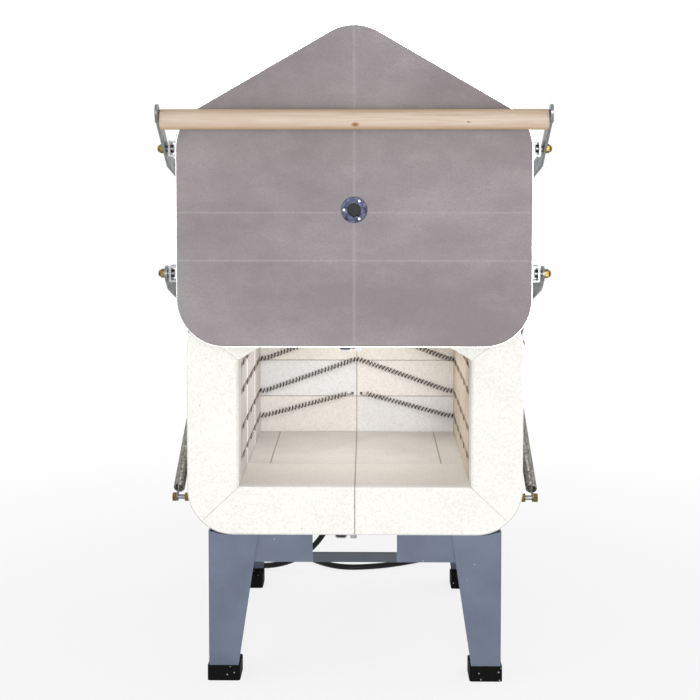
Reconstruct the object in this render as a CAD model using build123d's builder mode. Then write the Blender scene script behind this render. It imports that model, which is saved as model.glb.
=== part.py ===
from build123d import *
import os
from math import atan2, cos, degrees, hypot, pi, radians, sin, tan

# Front-loading electric kiln on a sheet-steel stand. Its door hangs in front of the
# body on parallel arms and is raised here. Millimetres, +Z up, the front faces -Y.
# The origin is on the floor, in the middle of everything but the power cord.
# A depth is measured backwards from the body's front plane.

# Body: a house-shaped box of firebrick in a stainless jacket
body_width = 571
eave_height = 363
roof_pitch = 30
corner_radius = 78
body_depth = 541
jacket_thickness = 1.2
cement_gap = 0.3
joint_gap = 0.5

# Chamber inside the bricks
chamber_width = 395
floor_thickness = 82
chamber_wall_height = 218
back_wall_thickness = 76
front_ring_depth = 45
front_floor_depth = 177
side_joint_depths = (146, 308)
roof_joint_depth = 255
course_height = 76
wall_courses = 3
floor_slab_width = 157
back_course_height = 74
back_courses = 4
mouth_chamfer = 4

# Heating elements: coils in grooves along the sides and in chevrons over the back
element_radius = 5
groove_size = 12
groove_bed_gap = 0.3
element_front_depth = 58
element_back_gap = 0.5
element_bend = 6.5
chevron_bend = 30
chevron_inset = 10.5
coil_split = 22
tail_offset = 9
tail_radius = 1.75
tail_bend = 5
tail_hole_radius = 3
tail_stub = 14
element_rows = {
    "lower_element": {"low": 35, "high": 86, "split": 79, "peak": 152},
    "upper_element": {"low": 152, "high": 200, "split": 214, "peak": 263},
}

# Stand
stand_height = 253
leg_inset = 35.5
leg_top_width = 85
leg_bottom_width = 48
leg_sheet = 3
leg_ear_height = 6
leg_ear_width = 25
leg_bend_radius = 2.5
rail_height = 48
rail_sheet = 2.5
rail_flange = 22
side_rail_flange = 44
rail_gap = 0.3
notch_half_width = 72
notch_depth = 31
foot_size = 56
foot_height = 26
foot_floor = 8
foot_wall = 2.5
foot_corner = 5
foot_chamfer = 1
foot_clearance = 0.3
stand_screw_inset = 48
stand_screw_drops = (9, 38)
screw_head_radius = 4.5
screw_head_height = 2.6
screw_radius = 2.1
screw_clearance = 0.2

# Door
door_thickness = 76
door_band_thickness = 1.2
coating_thickness = 1.5
door_closed_gap = 0.5
door_course_heights = (138, 215)
peephole_height = 221
peephole_bore = 11
peephole_wall = 1.2
flange_radius = 21
flange_thickness = 1.5
peephole_screw_circle = 16.3
peephole_screw_angles = (60, 180, 300)
peephole_screw_radius = 2.6

# Arms and their pivots. Angles are from the horizontal.
arm_length = 275
open_angle = 32
closed_angle = 44.2
door_pivot_height = 116
pivot_spacing = 203
arm_width = 25
arm_thickness = 4
handle_reach = 85
tip_reach = 20
tail_length = 180
joggle_start = 34
joggle_end = 80
joggle_offset = 14
pivot_radius = 4
pivot_clearance = 0.05
open_pivot_clearance = 0.4
fit_clearance = 0.1
side_gap = 0.3
nut_across_flats = 13
nut_height = 6.5
nut_dome = 4.6
nut_dome_radius = 6
nut_dome_rounding = 4.2

# Pivot bars on the body's sides
pivot_bar_thickness = 4
pivot_bar_width = 36
pivot_bar_foot = 192
pivot_bar_bolt_heights = (212, 250)
arm_washer = 0.7
washer_radius = 9
bolt_depth = 30
bolt_head_radius = 6.5
bolt_head_height = 4
bolt_end_gap = 1

# Hat brackets on the door's band
bracket_height = 26
bracket_length = 30
bracket_sheet = 3
bracket_rise = 14.8
bracket_foot = 10
bracket_foot_sheet = 1.5
bracket_bend = 2
spacer_radius = 5.5

# Handle bar
handle_radius = 16
handle_chamfer = 1.5
handle_screw_radius = 2.5
handle_screw_depth = 30
handle_head_radius = 6
handle_head_height = 3.5

# Springs
anchor_depth = 20
anchor_height = 60
tail_head_height = 3
spring_offset = 10.5
spring_radius = 10
spring_wire = 1.25
hook_radius = 7.5
hook_length = 27

# Clamps that draw the jacket and the door's band tight
body_clamp_offset = -13
door_clamp_offset = -4
clamp_spacing = 21.5
clamp_length = 20
clamp_strip = 2
clamp_drop = 10
clamp_block = 11
clamp_screw_radius = 2.5
body_clamp_depth = 14
door_clamp_inset = 28

# Back panel and wiring box
panel_thickness = 1.2
panel_screw_inset = 16
panel_side_screws = (108, 290)
panel_floor_screw = 162
panel_roof_screws = (67, 189)
box_width = 120
box_depth = 48
box_bottom = 118
box_height = 222
box_sheet = 1.2
box_corner = 2
box_flange = 14
vent_count = 4
vent_width = 70
vent_height = 5
vent_pitch = 14
vent_margin = 26
block_width = 56
block_height = 24
block_depth = 18
block_chamfer = 3
block_screw_offset = 18
block_screw_radius = 3.5
block_screw_height = 3

# Cord, gland and plug
cord_radius = 6
gland_offset = -30
gland_nut_radius = 14
gland_nut_height = 8
gland_collar_radius = 11
gland_collar_height = 6
gland_taper_height = 24
gland_tip_radius = 7.5
plug_radius = 21
plug_length = 44
plug_relief_length = 24
plug_relief_radius = 8
plug_shoulder_radius = 15
plug_rounding = 3
blade_length = 20
blade_width = 7
blade_thickness = 1.8
blade_spacing = 16
blade_rise = 4
ground_pin_drop = 12
ground_pin_radius = 2.4

# Worked out from the sizes above
pitch = radians(roof_pitch)
rise_angle = radians(open_angle)
drop_angle = radians(closed_angle)
half_body = body_width / 2
half_chamber = chamber_width / 2
chamber_depth = body_depth - back_wall_thickness
leg_outer = half_body - leg_inset
pivot_depth = arm_length * cos(drop_angle) - door_thickness / 2 - door_closed_gap
lower_pivot = stand_height + door_pivot_height + arm_length * sin(drop_angle)
upper_pivot = lower_pivot + pivot_spacing
door_pivot_depth = pivot_depth - arm_length * cos(rise_angle)
door_bottom = lower_pivot + arm_length * sin(rise_angle) - door_pivot_height
door_front_depth = door_pivot_depth - door_thickness / 2
arm_inner_plane = half_body + pivot_bar_thickness + arm_washer + side_gap
arm_outer_plane = arm_inner_plane + joggle_offset
spring_plane = arm_inner_plane + arm_thickness + spring_offset
front_reach = (handle_reach + tip_reach) * cos(rise_angle) + arm_width / 2 - door_pivot_depth
back_reach = body_depth + panel_thickness + box_depth
front_y = (front_reach - back_reach) / 2
chamber_floor = stand_height + floor_thickness
saw_reach = 3 * body_depth


def at_depth(depth):
    """Y of a place that lies this far behind the body's front plane."""
    return front_y + depth


def across(depth):
    """The upright plane at a depth, seen from the front. Extrude by less than 0 to go back."""
    return Plane.XZ.offset(-at_depth(depth))


def house_corners(half_width, bottom, eave):
    """Corners of a house front: floor, two walls and a roof at the roof pitch."""
    apex = eave + half_width * tan(pitch)
    return [(-half_width, bottom), (half_width, bottom), (half_width, eave), (0, apex), (-half_width, eave)]


def house(inset, bottom, depth):
    """The outline of body and door, drawn in from the outside by an inset."""
    eave = bottom + eave_height + inset * (tan(pitch) - 1 / cos(pitch))
    with BuildSketch(across(depth)) as outline:
        with BuildLine():
            Polyline(*house_corners(half_body - inset, bottom + inset, eave), close=True)
        make_face()
        fillet(outline.vertices(), corner_radius - inset)
    return outline.sketch


def keep(builder, name):
    """Labels a finished piece and writes it to its own file."""
    builder.part.label = name
    export_step(builder.part, f"parts/{name}.step")


def keep_image(builder, about, name):
    """Writes a piece's mirror image as a piece of its own."""
    with BuildPart() as image:
        mirror(builder.part, about=about)
    keep(image, name)


def keep_corners(front_right, name):
    """Writes a piece of the stand's front right corner, and its images at the other three."""
    keep(front_right, f"front_right_{name}")
    keep_image(front_right, Plane.YZ, f"front_left_{name}")
    with BuildPart() as rear_right:
        mirror(front_right.part, about=stand_middle)
    keep(rear_right, f"rear_right_{name}")
    keep_image(rear_right, Plane.YZ, f"rear_left_{name}")


def saw_joint(axis, place):
    """Opens a cement joint through the piece, on the plane where an axis is at place."""
    centre = [0, at_depth(body_depth / 2), stand_height]
    size = [saw_reach] * 3
    centre["XYZ".index(axis)] = place
    size["XYZ".index(axis)] = joint_gap
    with Locations(tuple(centre)):
        Box(*size, mode=Mode.SUBTRACT)


def drill_x(x, y, z, radius, length):
    """A hole along X, centred on a point."""
    with Locations((x, y, z)):
        Cylinder(radius, length, rotation=(0, 90, 0), mode=Mode.SUBTRACT)


def drill_y(x, y, z, radius, length):
    """A hole along Y, centred on a point."""
    with Locations((x, y, z)):
        Cylinder(radius, length, rotation=(90, 0, 0), mode=Mode.SUBTRACT)


def rod_x(x, y, z, radius, length):
    """A round rod along X that starts at x."""
    with Locations((x + length / 2, y, z)):
        Cylinder(radius, length, rotation=(0, 90, 0))


os.makedirs("parts", exist_ok=True)

# Firebricks
brick_inset = jacket_thickness + cement_gap
chamber_corners = house_corners(half_chamber, chamber_floor, chamber_floor + chamber_wall_height)
body_corners = house_corners(half_body, stand_height, stand_height + eave_height)
FLOOR, RIGHT_WALL, RIGHT_ROOF, LEFT_ROOF, LEFT_WALL = range(5)
anchor_y = at_depth(anchor_depth)
anchor_z = stand_height + anchor_height
pivot_y = at_depth(pivot_depth)


def slab(side, depth, length):
    """One mitred slab of the brick ring, between the chamber and the body's sharp outline."""
    after = (side + 1) % len(chamber_corners)
    with BuildSketch(across(depth)) as wedge:
        with BuildLine():
            Polyline(
                chamber_corners[side], chamber_corners[after],
                body_corners[after], body_corners[side],
                close=True,
            )
        make_face()
        offset(amount=-joint_gap / 2, kind=Kind.INTERSECTION)
    extrude(wedge.sketch, amount=-length)


def round_to_jacket():
    """Rounds the bricks' outside, to lie in the jacket."""
    extrude(house(brick_inset, stand_height, 0), amount=-body_depth, mode=Mode.INTERSECT)


def drill_bolt_holes():
    """Holes for the pivot bars' bolts and the springs' anchors, in both sides of the body."""
    places = [(pivot_y, stand_height + height) for height in pivot_bar_bolt_heights]
    for y, z in places + [(anchor_y, anchor_z)]:
        for direction in (-1, 1):
            x = direction * (half_body - bolt_depth / 2)
            drill_x(x, y, z, pivot_radius + fit_clearance, bolt_depth + joint_gap)


with BuildPart() as front_frame_bricks:
    slab(FLOOR, 0, front_floor_depth)
    for side in (RIGHT_WALL, RIGHT_ROOF, LEFT_ROOF, LEFT_WALL):
        slab(side, 0, front_ring_depth)
    round_to_jacket()
    saw_joint("X", 0)
    upright_edges = front_frame_bricks.edges().filter_by(Axis.Z).group_by(Axis.Y)[0]
    mouth_reach = half_chamber + joint_gap
    inner_edges = upright_edges.filter_by_position(Axis.X, -mouth_reach, mouth_reach)
    chamfer(inner_edges.sort_by(Axis.X)[0], mouth_chamfer)
    upright_edges = front_frame_bricks.edges().filter_by(Axis.Z).group_by(Axis.Y)[0]
    inner_edges = upright_edges.filter_by_position(Axis.X, -mouth_reach, mouth_reach)
    chamfer(inner_edges.sort_by(Axis.X)[-1], mouth_chamfer)
    drill_bolt_holes()
keep(front_frame_bricks, "front_frame_bricks")

with BuildPart() as floor_bricks:
    slab(FLOOR, front_floor_depth + joint_gap, chamber_depth - front_floor_depth - 2 * joint_gap)
    round_to_jacket()
    for x in (-floor_slab_width, 0, floor_slab_width):
        saw_joint("X", x)
keep(floor_bricks, "floor_bricks")

rear_length = chamber_depth - front_ring_depth - 2 * joint_gap
groove_front = element_front_depth - groove_size / 2
groove_bed = element_radius + groove_bed_gap
groove_cut = groove_size + joint_gap
groove_align = (Align.CENTER, Align.MIN, Align.MIN)
for name, side, direction in (("left", LEFT_WALL, -1), ("right", RIGHT_WALL, 1)):
    with BuildPart() as wall_bricks:
        slab(side, front_ring_depth + joint_gap, rear_length)
        round_to_jacket()
        for depth in side_joint_depths:
            saw_joint("Y", at_depth(depth))
        for course in range(1, wall_courses):
            saw_joint("Z", chamber_floor + course * course_height)
        groove_x = direction * (half_chamber + groove_size / 2 - joint_gap)
        for rows in element_rows.values():
            bottoms = [chamber_floor + rows[key] - groove_bed for key in ("low", "high")]
            for bottom in bottoms:
                with Locations((groove_x, at_depth(groove_front), bottom)):
                    Box(groove_cut, chamber_depth, groove_size, align=groove_align, mode=Mode.SUBTRACT)
            with Locations((groove_x, at_depth(groove_front), bottoms[0])):
                riser = bottoms[1] - bottoms[0] + groove_size
                Box(groove_cut, groove_size, riser, align=groove_align, mode=Mode.SUBTRACT)
        drill_bolt_holes()
    keep(wall_bricks, f"{name}_wall_bricks")

with BuildPart() as roof_bricks:
    for side in (RIGHT_ROOF, LEFT_ROOF):
        slab(side, front_ring_depth + joint_gap, rear_length)
    round_to_jacket()
    saw_joint("Y", at_depth(roof_joint_depth))
keep(roof_bricks, "roof_bricks")


def drill_tail_holes(length):
    """Holes for the elements' straight tails, which leave the chamber through its back wall."""
    for rows in element_rows.values():
        for x in (-tail_offset, tail_offset):
            drill_y(x, at_depth(body_depth), chamber_floor + rows["split"], tail_hole_radius, length)


with BuildPart() as back_wall_bricks:
    extrude(house(brick_inset, stand_height, chamber_depth), amount=-back_wall_thickness)
    saw_joint("X", 0)
    for course in range(back_courses):
        saw_joint("Z", chamber_floor + course * back_course_height)
    drill_tail_holes(2 * body_depth)
keep(back_wall_bricks, "back_wall_bricks")

# Heating elements
element_x = half_chamber + groove_size - element_radius - joint_gap
chevron_start = half_chamber - chevron_inset
element_y = at_depth(chamber_depth) - element_radius - element_back_gap
element_front_y = at_depth(element_front_depth)
block_back = at_depth(body_depth + panel_thickness + block_depth)
for name, rows in element_rows.items():
    low, high, split, peak = (chamber_floor + rows[key] for key in ("low", "high", "split", "peak"))
    half_route = [
        (coil_split, element_y, split),
        (chevron_start, element_y, low),
        (element_x, element_y, low),
        (element_x, element_front_y, low),
        (element_x, element_front_y, high),
        (element_x, element_y, high),
        (chevron_start, element_y, high),
    ]
    half_bends = [chevron_bend, element_bend, element_bend, element_bend, element_bend, chevron_bend]
    left_route = [(-x, y, z) for x, y, z in half_route]
    with BuildPart() as element:
        with BuildLine() as coil_path:
            FilletPolyline(
                *left_route, (0, element_y, peak), *reversed(half_route),
                radius=half_bends + [chevron_bend] + half_bends[::-1],
            )
        with BuildSketch(Plane(coil_path.line @ 0, z_dir=coil_path.line % 0)):
            Circle(element_radius)
        sweep()
        for direction in (-1, 1):
            with BuildLine() as tail_path:
                FilletPolyline(
                    (direction * (coil_split + tail_radius), element_y, split),
                    (direction * tail_offset, element_y, split),
                    (direction * tail_offset, block_back + tail_stub, split),
                    radius=tail_bend,
                )
            with BuildSketch(Plane(tail_path.line @ 0, z_dir=tail_path.line % 0)):
                Circle(tail_radius)
            sweep()
    keep(element, name)

# Jacket and its clamps
with BuildPart() as body_jacket:
    extrude(house(0, stand_height, 0), amount=-body_depth)
    extrude(house(jacket_thickness, stand_height, 0), amount=-body_depth, mode=Mode.SUBTRACT)
    drill_bolt_holes()
keep(body_jacket, "body_jacket")


def band_clamp(offset, bottom, depth):
    """A bent strap and a square block on the ends of a band, drawn together by a screw."""
    left = offset - clamp_spacing / 2
    right = offset + clamp_spacing / 2
    middle = bottom - clamp_drop / 2
    y = at_depth(depth + clamp_length / 2)
    with BuildSketch(across(depth)) as strap:
        with Locations((left, middle)):
            SlotCenterToCenter(clamp_block, clamp_drop)
            SlotCenterToCenter(clamp_block, clamp_drop - 2 * clamp_strip, mode=Mode.SUBTRACT)
    extrude(strap.sketch, amount=-clamp_length)
    with Locations((right, y, middle)):
        Box(clamp_block, clamp_length, clamp_drop)
    screw_start = left - clamp_drop
    rod_x(screw_start, y, middle, clamp_screw_radius, right - screw_start)


with BuildPart() as body_band_clamps:
    for depth in (body_clamp_depth, body_depth - body_clamp_depth - clamp_length):
        band_clamp(body_clamp_offset, stand_height, depth)
keep(body_band_clamps, "body_band_clamps")

# Legs: bent angles that narrow towards the feet
stand_middle = Plane.XZ.offset(-at_depth(body_depth / 2))


def drill_stand_holes():
    """Holes for the screws that hold legs and side rails together, at all four corners."""
    hole = screw_radius + screw_clearance
    for drop in stand_screw_drops:
        for direction in (-1, 1):
            for depth in (stand_screw_inset, body_depth - stand_screw_inset):
                drill_x(direction * leg_outer, at_depth(depth), stand_height - drop, hole, foot_size)


with BuildPart() as front_right_leg:
    with BuildSketch(across(0)):
        with BuildLine():
            Polyline(
                (leg_outer, foot_floor),
                (leg_outer, stand_height + leg_ear_height),
                (leg_outer - leg_ear_width, stand_height),
                (leg_outer - leg_top_width, stand_height),
                (leg_outer - leg_bottom_width, foot_floor),
                close=True,
            )
        make_face()
    extrude(amount=-leg_sheet)
    with BuildSketch(Plane.YZ.offset(leg_outer)):
        with BuildLine():
            Polyline(
                (at_depth(0), foot_floor),
                (at_depth(0), stand_height + leg_ear_height),
                (at_depth(leg_top_width), stand_height + leg_ear_height),
                (at_depth(leg_bottom_width), foot_floor),
                close=True,
            )
        make_face()
    extrude(amount=-leg_sheet)
    outer_bend = front_right_leg.edges().filter_by(Axis.Z).group_by(Axis.X)[-1].sort_by(Axis.Y)[0]
    fillet(outer_bend, leg_bend_radius)
    drill_stand_holes()
keep_corners(front_right_leg, "leg")

# Feet: rubber boots with a slot for the leg's angle
slope = (leg_top_width - leg_bottom_width) / (stand_height - foot_floor)
slot_width = leg_bottom_width + slope * (foot_height - foot_floor) + 2 * foot_clearance
slot_sheet = leg_sheet + 2 * foot_clearance
boot_outer = leg_outer + foot_wall
boot_front = at_depth(-foot_wall)
boot_align = (Align.MAX, Align.MIN, Align.MIN)
with BuildPart() as front_right_foot:
    with Locations((boot_outer, boot_front, 0)):
        Box(foot_size, foot_size, foot_height, align=boot_align)
    fillet(front_right_foot.edges().filter_by(Axis.Z), foot_corner)
    chamfer(front_right_foot.faces().sort_by(Axis.Z)[-1].edges(), foot_chamfer)
    with Locations((leg_outer + foot_clearance, at_depth(-foot_clearance), foot_floor)):
        Box(slot_width, slot_sheet, foot_height, align=boot_align, mode=Mode.SUBTRACT)
        Box(slot_sheet, slot_width, foot_height, align=boot_align, mode=Mode.SUBTRACT)
keep_corners(front_right_foot, "foot")

# Rails: flanged strips between the legs, that the body stands on
rail_half = leg_outer - leg_sheet - rail_gap
web_start = leg_sheet + rail_sheet + rail_gap
flange_start = leg_sheet + rail_flange + rail_gap
web_align = (Align.MIN, Align.MAX)
with BuildPart() as front_rail:
    with BuildSketch(Plane.YZ) as web:
        with Locations((at_depth(leg_sheet), stand_height)):
            Rectangle(rail_sheet, rail_height, align=web_align)
    extrude(web.sketch, amount=rail_half, both=True)
    with BuildSketch(Plane.YZ) as flange:
        with Locations((at_depth(leg_sheet), stand_height)):
            Rectangle(rail_flange, rail_sheet, align=web_align)
    extrude(flange.sketch, amount=rail_half - rail_sheet, both=True)
    with BuildSketch(across(0)) as notch:
        with Locations((0, stand_height)):
            Rectangle(2 * notch_half_width, 2 * notch_depth)
    extrude(notch.sketch, amount=-2 * rail_flange, mode=Mode.SUBTRACT)
keep(front_rail, "front_rail")
keep_image(front_rail, stand_middle, "rear_rail")

with BuildPart() as right_rail:
    with BuildSketch(stand_middle) as web:
        with Locations((leg_outer - leg_sheet, stand_height)):
            Rectangle(rail_sheet, rail_height, align=(Align.MAX, Align.MAX))
    extrude(web.sketch, amount=body_depth / 2 - web_start, both=True)
    with BuildSketch(stand_middle) as flange:
        with Locations((leg_outer - leg_sheet, stand_height)):
            Rectangle(side_rail_flange, rail_sheet, align=(Align.MAX, Align.MAX))
    extrude(flange.sketch, amount=body_depth / 2 - flange_start, both=True)
    drill_stand_holes()
keep(right_rail, "right_rail")
keep_image(right_rail, Plane.YZ, "left_rail")

# A round-headed screw. It points along -Z from the origin, with its head above.
with BuildPart() as sheet_screw:
    Cylinder(screw_radius, leg_sheet + rail_sheet, align=(Align.CENTER, Align.CENTER, Align.MAX))
    Cylinder(screw_head_radius, screw_head_height, align=(Align.CENTER, Align.CENTER, Align.MIN))
    fillet(sheet_screw.faces().sort_by(Axis.Z)[-1].edges(), screw_head_height / 2)

with BuildPart() as stand_screws:
    for drop in stand_screw_drops:
        z = stand_height - drop
        for side in (-1, 1):
            for depth in (stand_screw_inset, body_depth - stand_screw_inset):
                with Locations(Location((side * leg_outer, at_depth(depth), z), (0, side * 90, 0))):
                    add(sheet_screw.part)
keep(stand_screws, "stand_screws")

# Door
door_inset = door_band_thickness + cement_gap
slab_depth = door_front_depth + coating_thickness
door_hole_radius = peephole_bore + peephole_wall + cement_gap
peephole_z = door_bottom + peephole_height
peephole_y = at_depth(door_front_depth)
with BuildPart() as door_bricks:
    extrude(house(door_inset, door_bottom, slab_depth), amount=coating_thickness - door_thickness)
    saw_joint("X", 0)
    for height in door_course_heights:
        saw_joint("Z", door_bottom + height)
    drill_y(0, peephole_y, peephole_z, door_hole_radius, 3 * door_thickness)
keep(door_bricks, "door_bricks")

with BuildPart() as door_coating:
    extrude(house(door_inset, door_bottom, door_front_depth), amount=-coating_thickness)
    drill_y(0, peephole_y, peephole_z, door_hole_radius, door_thickness)
keep(door_coating, "door_coating")

with BuildPart() as door_band:
    extrude(house(0, door_bottom, door_front_depth), amount=-door_thickness)
    band_inside = house(door_band_thickness, door_bottom, door_front_depth)
    extrude(band_inside, amount=-door_thickness, mode=Mode.SUBTRACT)
keep(door_band, "door_band")

with BuildPart() as door_band_clamp:
    band_clamp(door_clamp_offset, door_bottom, door_front_depth + door_clamp_inset)
keep(door_band_clamp, "door_band_clamp")

peephole_plane = Plane(origin=(0, peephole_y, peephole_z), x_dir=(1, 0, 0), z_dir=(0, -1, 0))
with BuildPart() as peephole_tube:
    with BuildSketch(peephole_plane) as tube_section:
        Circle(peephole_bore + peephole_wall)
    extrude(tube_section.sketch, amount=-door_thickness)
    with BuildSketch(peephole_plane) as flange:
        Circle(flange_radius)
    extrude(flange.sketch, amount=flange_thickness)
    fillet(peephole_tube.faces().sort_by(Axis.Y)[0].edges(), flange_thickness / 2)
    with BuildSketch(peephole_plane.offset(flange_thickness)) as bore:
        Circle(peephole_bore)
    extrude(bore.sketch, amount=-2 * door_thickness, mode=Mode.SUBTRACT)
keep(peephole_tube, "peephole_tube")

with BuildPart() as peephole_screws:
    with BuildSketch(peephole_plane.offset(flange_thickness)):
        for angle in peephole_screw_angles:
            with PolarLocations(peephole_screw_circle, 1, start_angle=angle):
                Circle(peephole_screw_radius)
    extrude(amount=flange_thickness)
    fillet(peephole_screws.faces().group_by(Axis.Y)[0].edges(), flange_thickness / 2)
keep(peephole_screws, "peephole_screws")

# Pivots of the door, raised: the upper one also carries the handle's arms
upper_door_pivot = (at_depth(door_pivot_depth), door_bottom + door_pivot_height + pivot_spacing)
lower_door_pivot = (at_depth(door_pivot_depth), door_bottom + door_pivot_height)
arm_inner_face = arm_inner_plane + arm_thickness
arm_outer_face = arm_outer_plane + arm_thickness
bracket_face = half_body + bracket_rise


def both_sides(right_piece):
    """Adds a piece of the right side and its mirror image on the left."""
    add(right_piece)
    mirror(right_piece, about=Plane.YZ)


with BuildPart() as right_brackets:
    with BuildSketch(across(door_pivot_depth)) as hat:
        for _, z in (upper_door_pivot, lower_door_pivot):
            with Locations((half_body, z)):
                Rectangle(bracket_rise, bracket_height, align=(Align.MIN, Align.CENTER))
                feet_height = bracket_height + 2 * bracket_foot
                Rectangle(bracket_foot_sheet, feet_height, align=(Align.MIN, Align.CENTER))
                inside_height = bracket_height - 2 * bracket_sheet
                Rectangle(2 * (bracket_rise - bracket_sheet), inside_height, mode=Mode.SUBTRACT)
    extrude(hat.sketch, amount=bracket_length / 2, both=True)
    fillet(right_brackets.edges().filter_by(Axis.Y).group_by(Axis.X)[-1], bracket_bend)
    for y, z in (upper_door_pivot, lower_door_pivot):
        drill_x(bracket_face, y, z, pivot_radius + fit_clearance, 3 * bracket_sheet)
with BuildPart() as door_brackets:
    both_sides(right_brackets.part)
keep(door_brackets, "door_brackets")

door_bolt_end = arm_outer_face + side_gap + nut_height
with BuildPart() as right_door_bolts:
    for y, z in (upper_door_pivot, lower_door_pivot):
        web = bracket_face - bracket_sheet
        rod_x(web - bolt_head_height, y, z, bolt_head_radius, bolt_head_height)
        rod_x(web - bolt_head_height, y, z, pivot_radius, door_bolt_end - web + bolt_head_height)
        rod_x(bracket_face, y, z, spacer_radius, arm_outer_plane - side_gap - bracket_face)
with BuildPart() as door_pivot_bolts:
    both_sides(right_door_bolts.part)
keep(door_pivot_bolts, "door_pivot_bolts")

# An acorn nut. It sits on the plane Z = 0 of its own frame, with its dome above.
with BuildPart() as acorn_nut:
    with BuildSketch():
        RegularPolygon(nut_across_flats / 2, 6, major_radius=False)
    extrude(amount=nut_height)
    with BuildSketch(Plane.XY.offset(nut_height)):
        Circle(nut_dome_radius)
    extrude(amount=nut_dome)
    fillet(acorn_nut.faces().sort_by(Axis.Z)[-1].edges(), nut_dome_rounding)
    with Locations((0, 0, (nut_height + cement_gap) / 2)):
        Cylinder(pivot_radius + fit_clearance, nut_height + cement_gap, mode=Mode.SUBTRACT)


def place_nuts(x, pivots):
    """Acorn nuts that face outwards on both sides, at these places."""
    for y, z in pivots:
        with Locations(Location((x, y, z), (0, 90, 0)), Location((-x, y, z), (0, -90, 0))):
            add(acorn_nut.part)


with BuildPart() as door_pivot_nuts:
    place_nuts(arm_outer_face + side_gap, (upper_door_pivot, lower_door_pivot))
keep(door_pivot_nuts, "door_pivot_nuts")

# Arms
upper_body_pivot = (pivot_y, upper_pivot)
lower_body_pivot = (pivot_y, lower_pivot)


def arm_plane(pivot):
    """Seen on edge: x runs from the body's pivot to the door's, y outwards along X."""
    y, z = pivot
    forward = (0, -cos(rise_angle), sin(rise_angle))
    return Plane(origin=(0, y, z), x_dir=forward, z_dir=(0, sin(rise_angle), cos(rise_angle)))


def along_arm(pivot, reach):
    """The place that lies this far along an arm from the body's pivot."""
    y, z = pivot
    return (y - reach * cos(rise_angle), z + reach * sin(rise_angle))


def right_arm(pivot, back, front, holes):
    """A flat bar with a joggle: near the body's side behind, clear of the door's brackets in front."""
    end = arm_width
    with BuildSketch(arm_plane(pivot)) as strip:
        with BuildLine():
            inner = Polyline(
                (-back - end, arm_inner_plane),
                (arm_length - joggle_end, arm_inner_plane),
                (arm_length - joggle_start, arm_outer_plane),
                (front + end, arm_outer_plane),
            )
            outer = Polyline(
                (-back - end, arm_inner_face),
                (arm_length - joggle_end, arm_inner_face),
                (arm_length - joggle_start, arm_outer_face),
                (front + end, arm_outer_face),
            )
            Line(inner @ 0, outer @ 0)
            Line(inner @ 1, outer @ 1)
        make_face()
    extrude(strip.sketch, amount=arm_width, both=True)
    with BuildSketch(Plane.YZ) as side_view:
        with Locations(along_arm(pivot, (front - back) / 2)):
            SlotCenterToCenter(front + back, arm_width, rotation=-open_angle)
    extrude(side_view.sketch, amount=2 * arm_outer_face, mode=Mode.INTERSECT)
    for reach, radius in holes:
        y, z = along_arm(pivot, reach)
        drill_x(arm_inner_plane, y, z, radius, foot_size)


running_hole = pivot_radius + pivot_clearance
open_pivot_hole = pivot_radius + open_pivot_clearance
handle_at = arm_length + handle_reach
with BuildPart() as right_upper_arm:
    right_arm(
        upper_body_pivot, 0, handle_at + tip_reach,
        [(0, running_hole), (arm_length, running_hole), (handle_at, handle_screw_radius + fit_clearance)],
    )
keep(right_upper_arm, "right_upper_arm")
keep_image(right_upper_arm, Plane.YZ, "left_upper_arm")

with BuildPart() as right_lower_arm:
    right_arm(
        lower_body_pivot, tail_length, arm_length,
        [(0, running_hole), (arm_length, open_pivot_hole), (-tail_length, pivot_radius + fit_clearance)],
    )
keep(right_lower_arm, "right_lower_arm")
keep_image(right_lower_arm, Plane.YZ, "left_lower_arm")

# Handle bar between the upper arms, and its screws
handle_y, handle_z = along_arm(upper_body_pivot, handle_at)
handle_half = arm_outer_plane - side_gap
with BuildPart() as handle_bar:
    with Locations((0, handle_y, handle_z)):
        Cylinder(handle_radius, 2 * handle_half, rotation=(0, 90, 0))
    chamfer(handle_bar.edges().filter_by(GeomType.CIRCLE), handle_chamfer)
    screw_hole = handle_screw_radius + fit_clearance
    for direction in (-1, 1):
        drill_x(direction * handle_half, handle_y, handle_z, screw_hole, 2 * handle_screw_depth)
keep(handle_bar, "handle_bar")

with BuildPart() as right_handle_screw:
    rod_x(arm_outer_face, handle_y, handle_z, handle_head_radius, handle_head_height)
    fillet(right_handle_screw.faces().sort_by(Axis.X)[-1].edges(), handle_head_height / 2)
    screw_tip = handle_half - handle_screw_depth + bolt_end_gap
    rod_x(screw_tip, handle_y, handle_z, handle_screw_radius, arm_outer_face + bolt_end_gap - screw_tip)
with BuildPart() as handle_screws:
    both_sides(right_handle_screw.part)
keep(handle_screws, "handle_screws")

# Pivot bars on the body's sides, with their bolts, pivot studs and nuts
bar_foot = stand_height + pivot_bar_foot
bar_middle = (bar_foot + upper_pivot) / 2
with BuildPart() as right_pivot_bar:
    with BuildSketch(Plane.YZ.offset(half_body)):
        with Locations((pivot_y, bar_middle)):
            SlotCenterToCenter(upper_pivot - bar_foot, pivot_bar_width, rotation=90)
    extrude(amount=pivot_bar_thickness)
    for y, z in (upper_body_pivot, lower_body_pivot):
        drill_x(half_body, y, z, pivot_radius + fit_clearance, foot_size)
    for height in pivot_bar_bolt_heights:
        drill_x(half_body, pivot_y, stand_height + height, pivot_radius + fit_clearance, foot_size)
keep(right_pivot_bar, "right_pivot_bar")
keep_image(right_pivot_bar, Plane.YZ, "left_pivot_bar")

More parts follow.
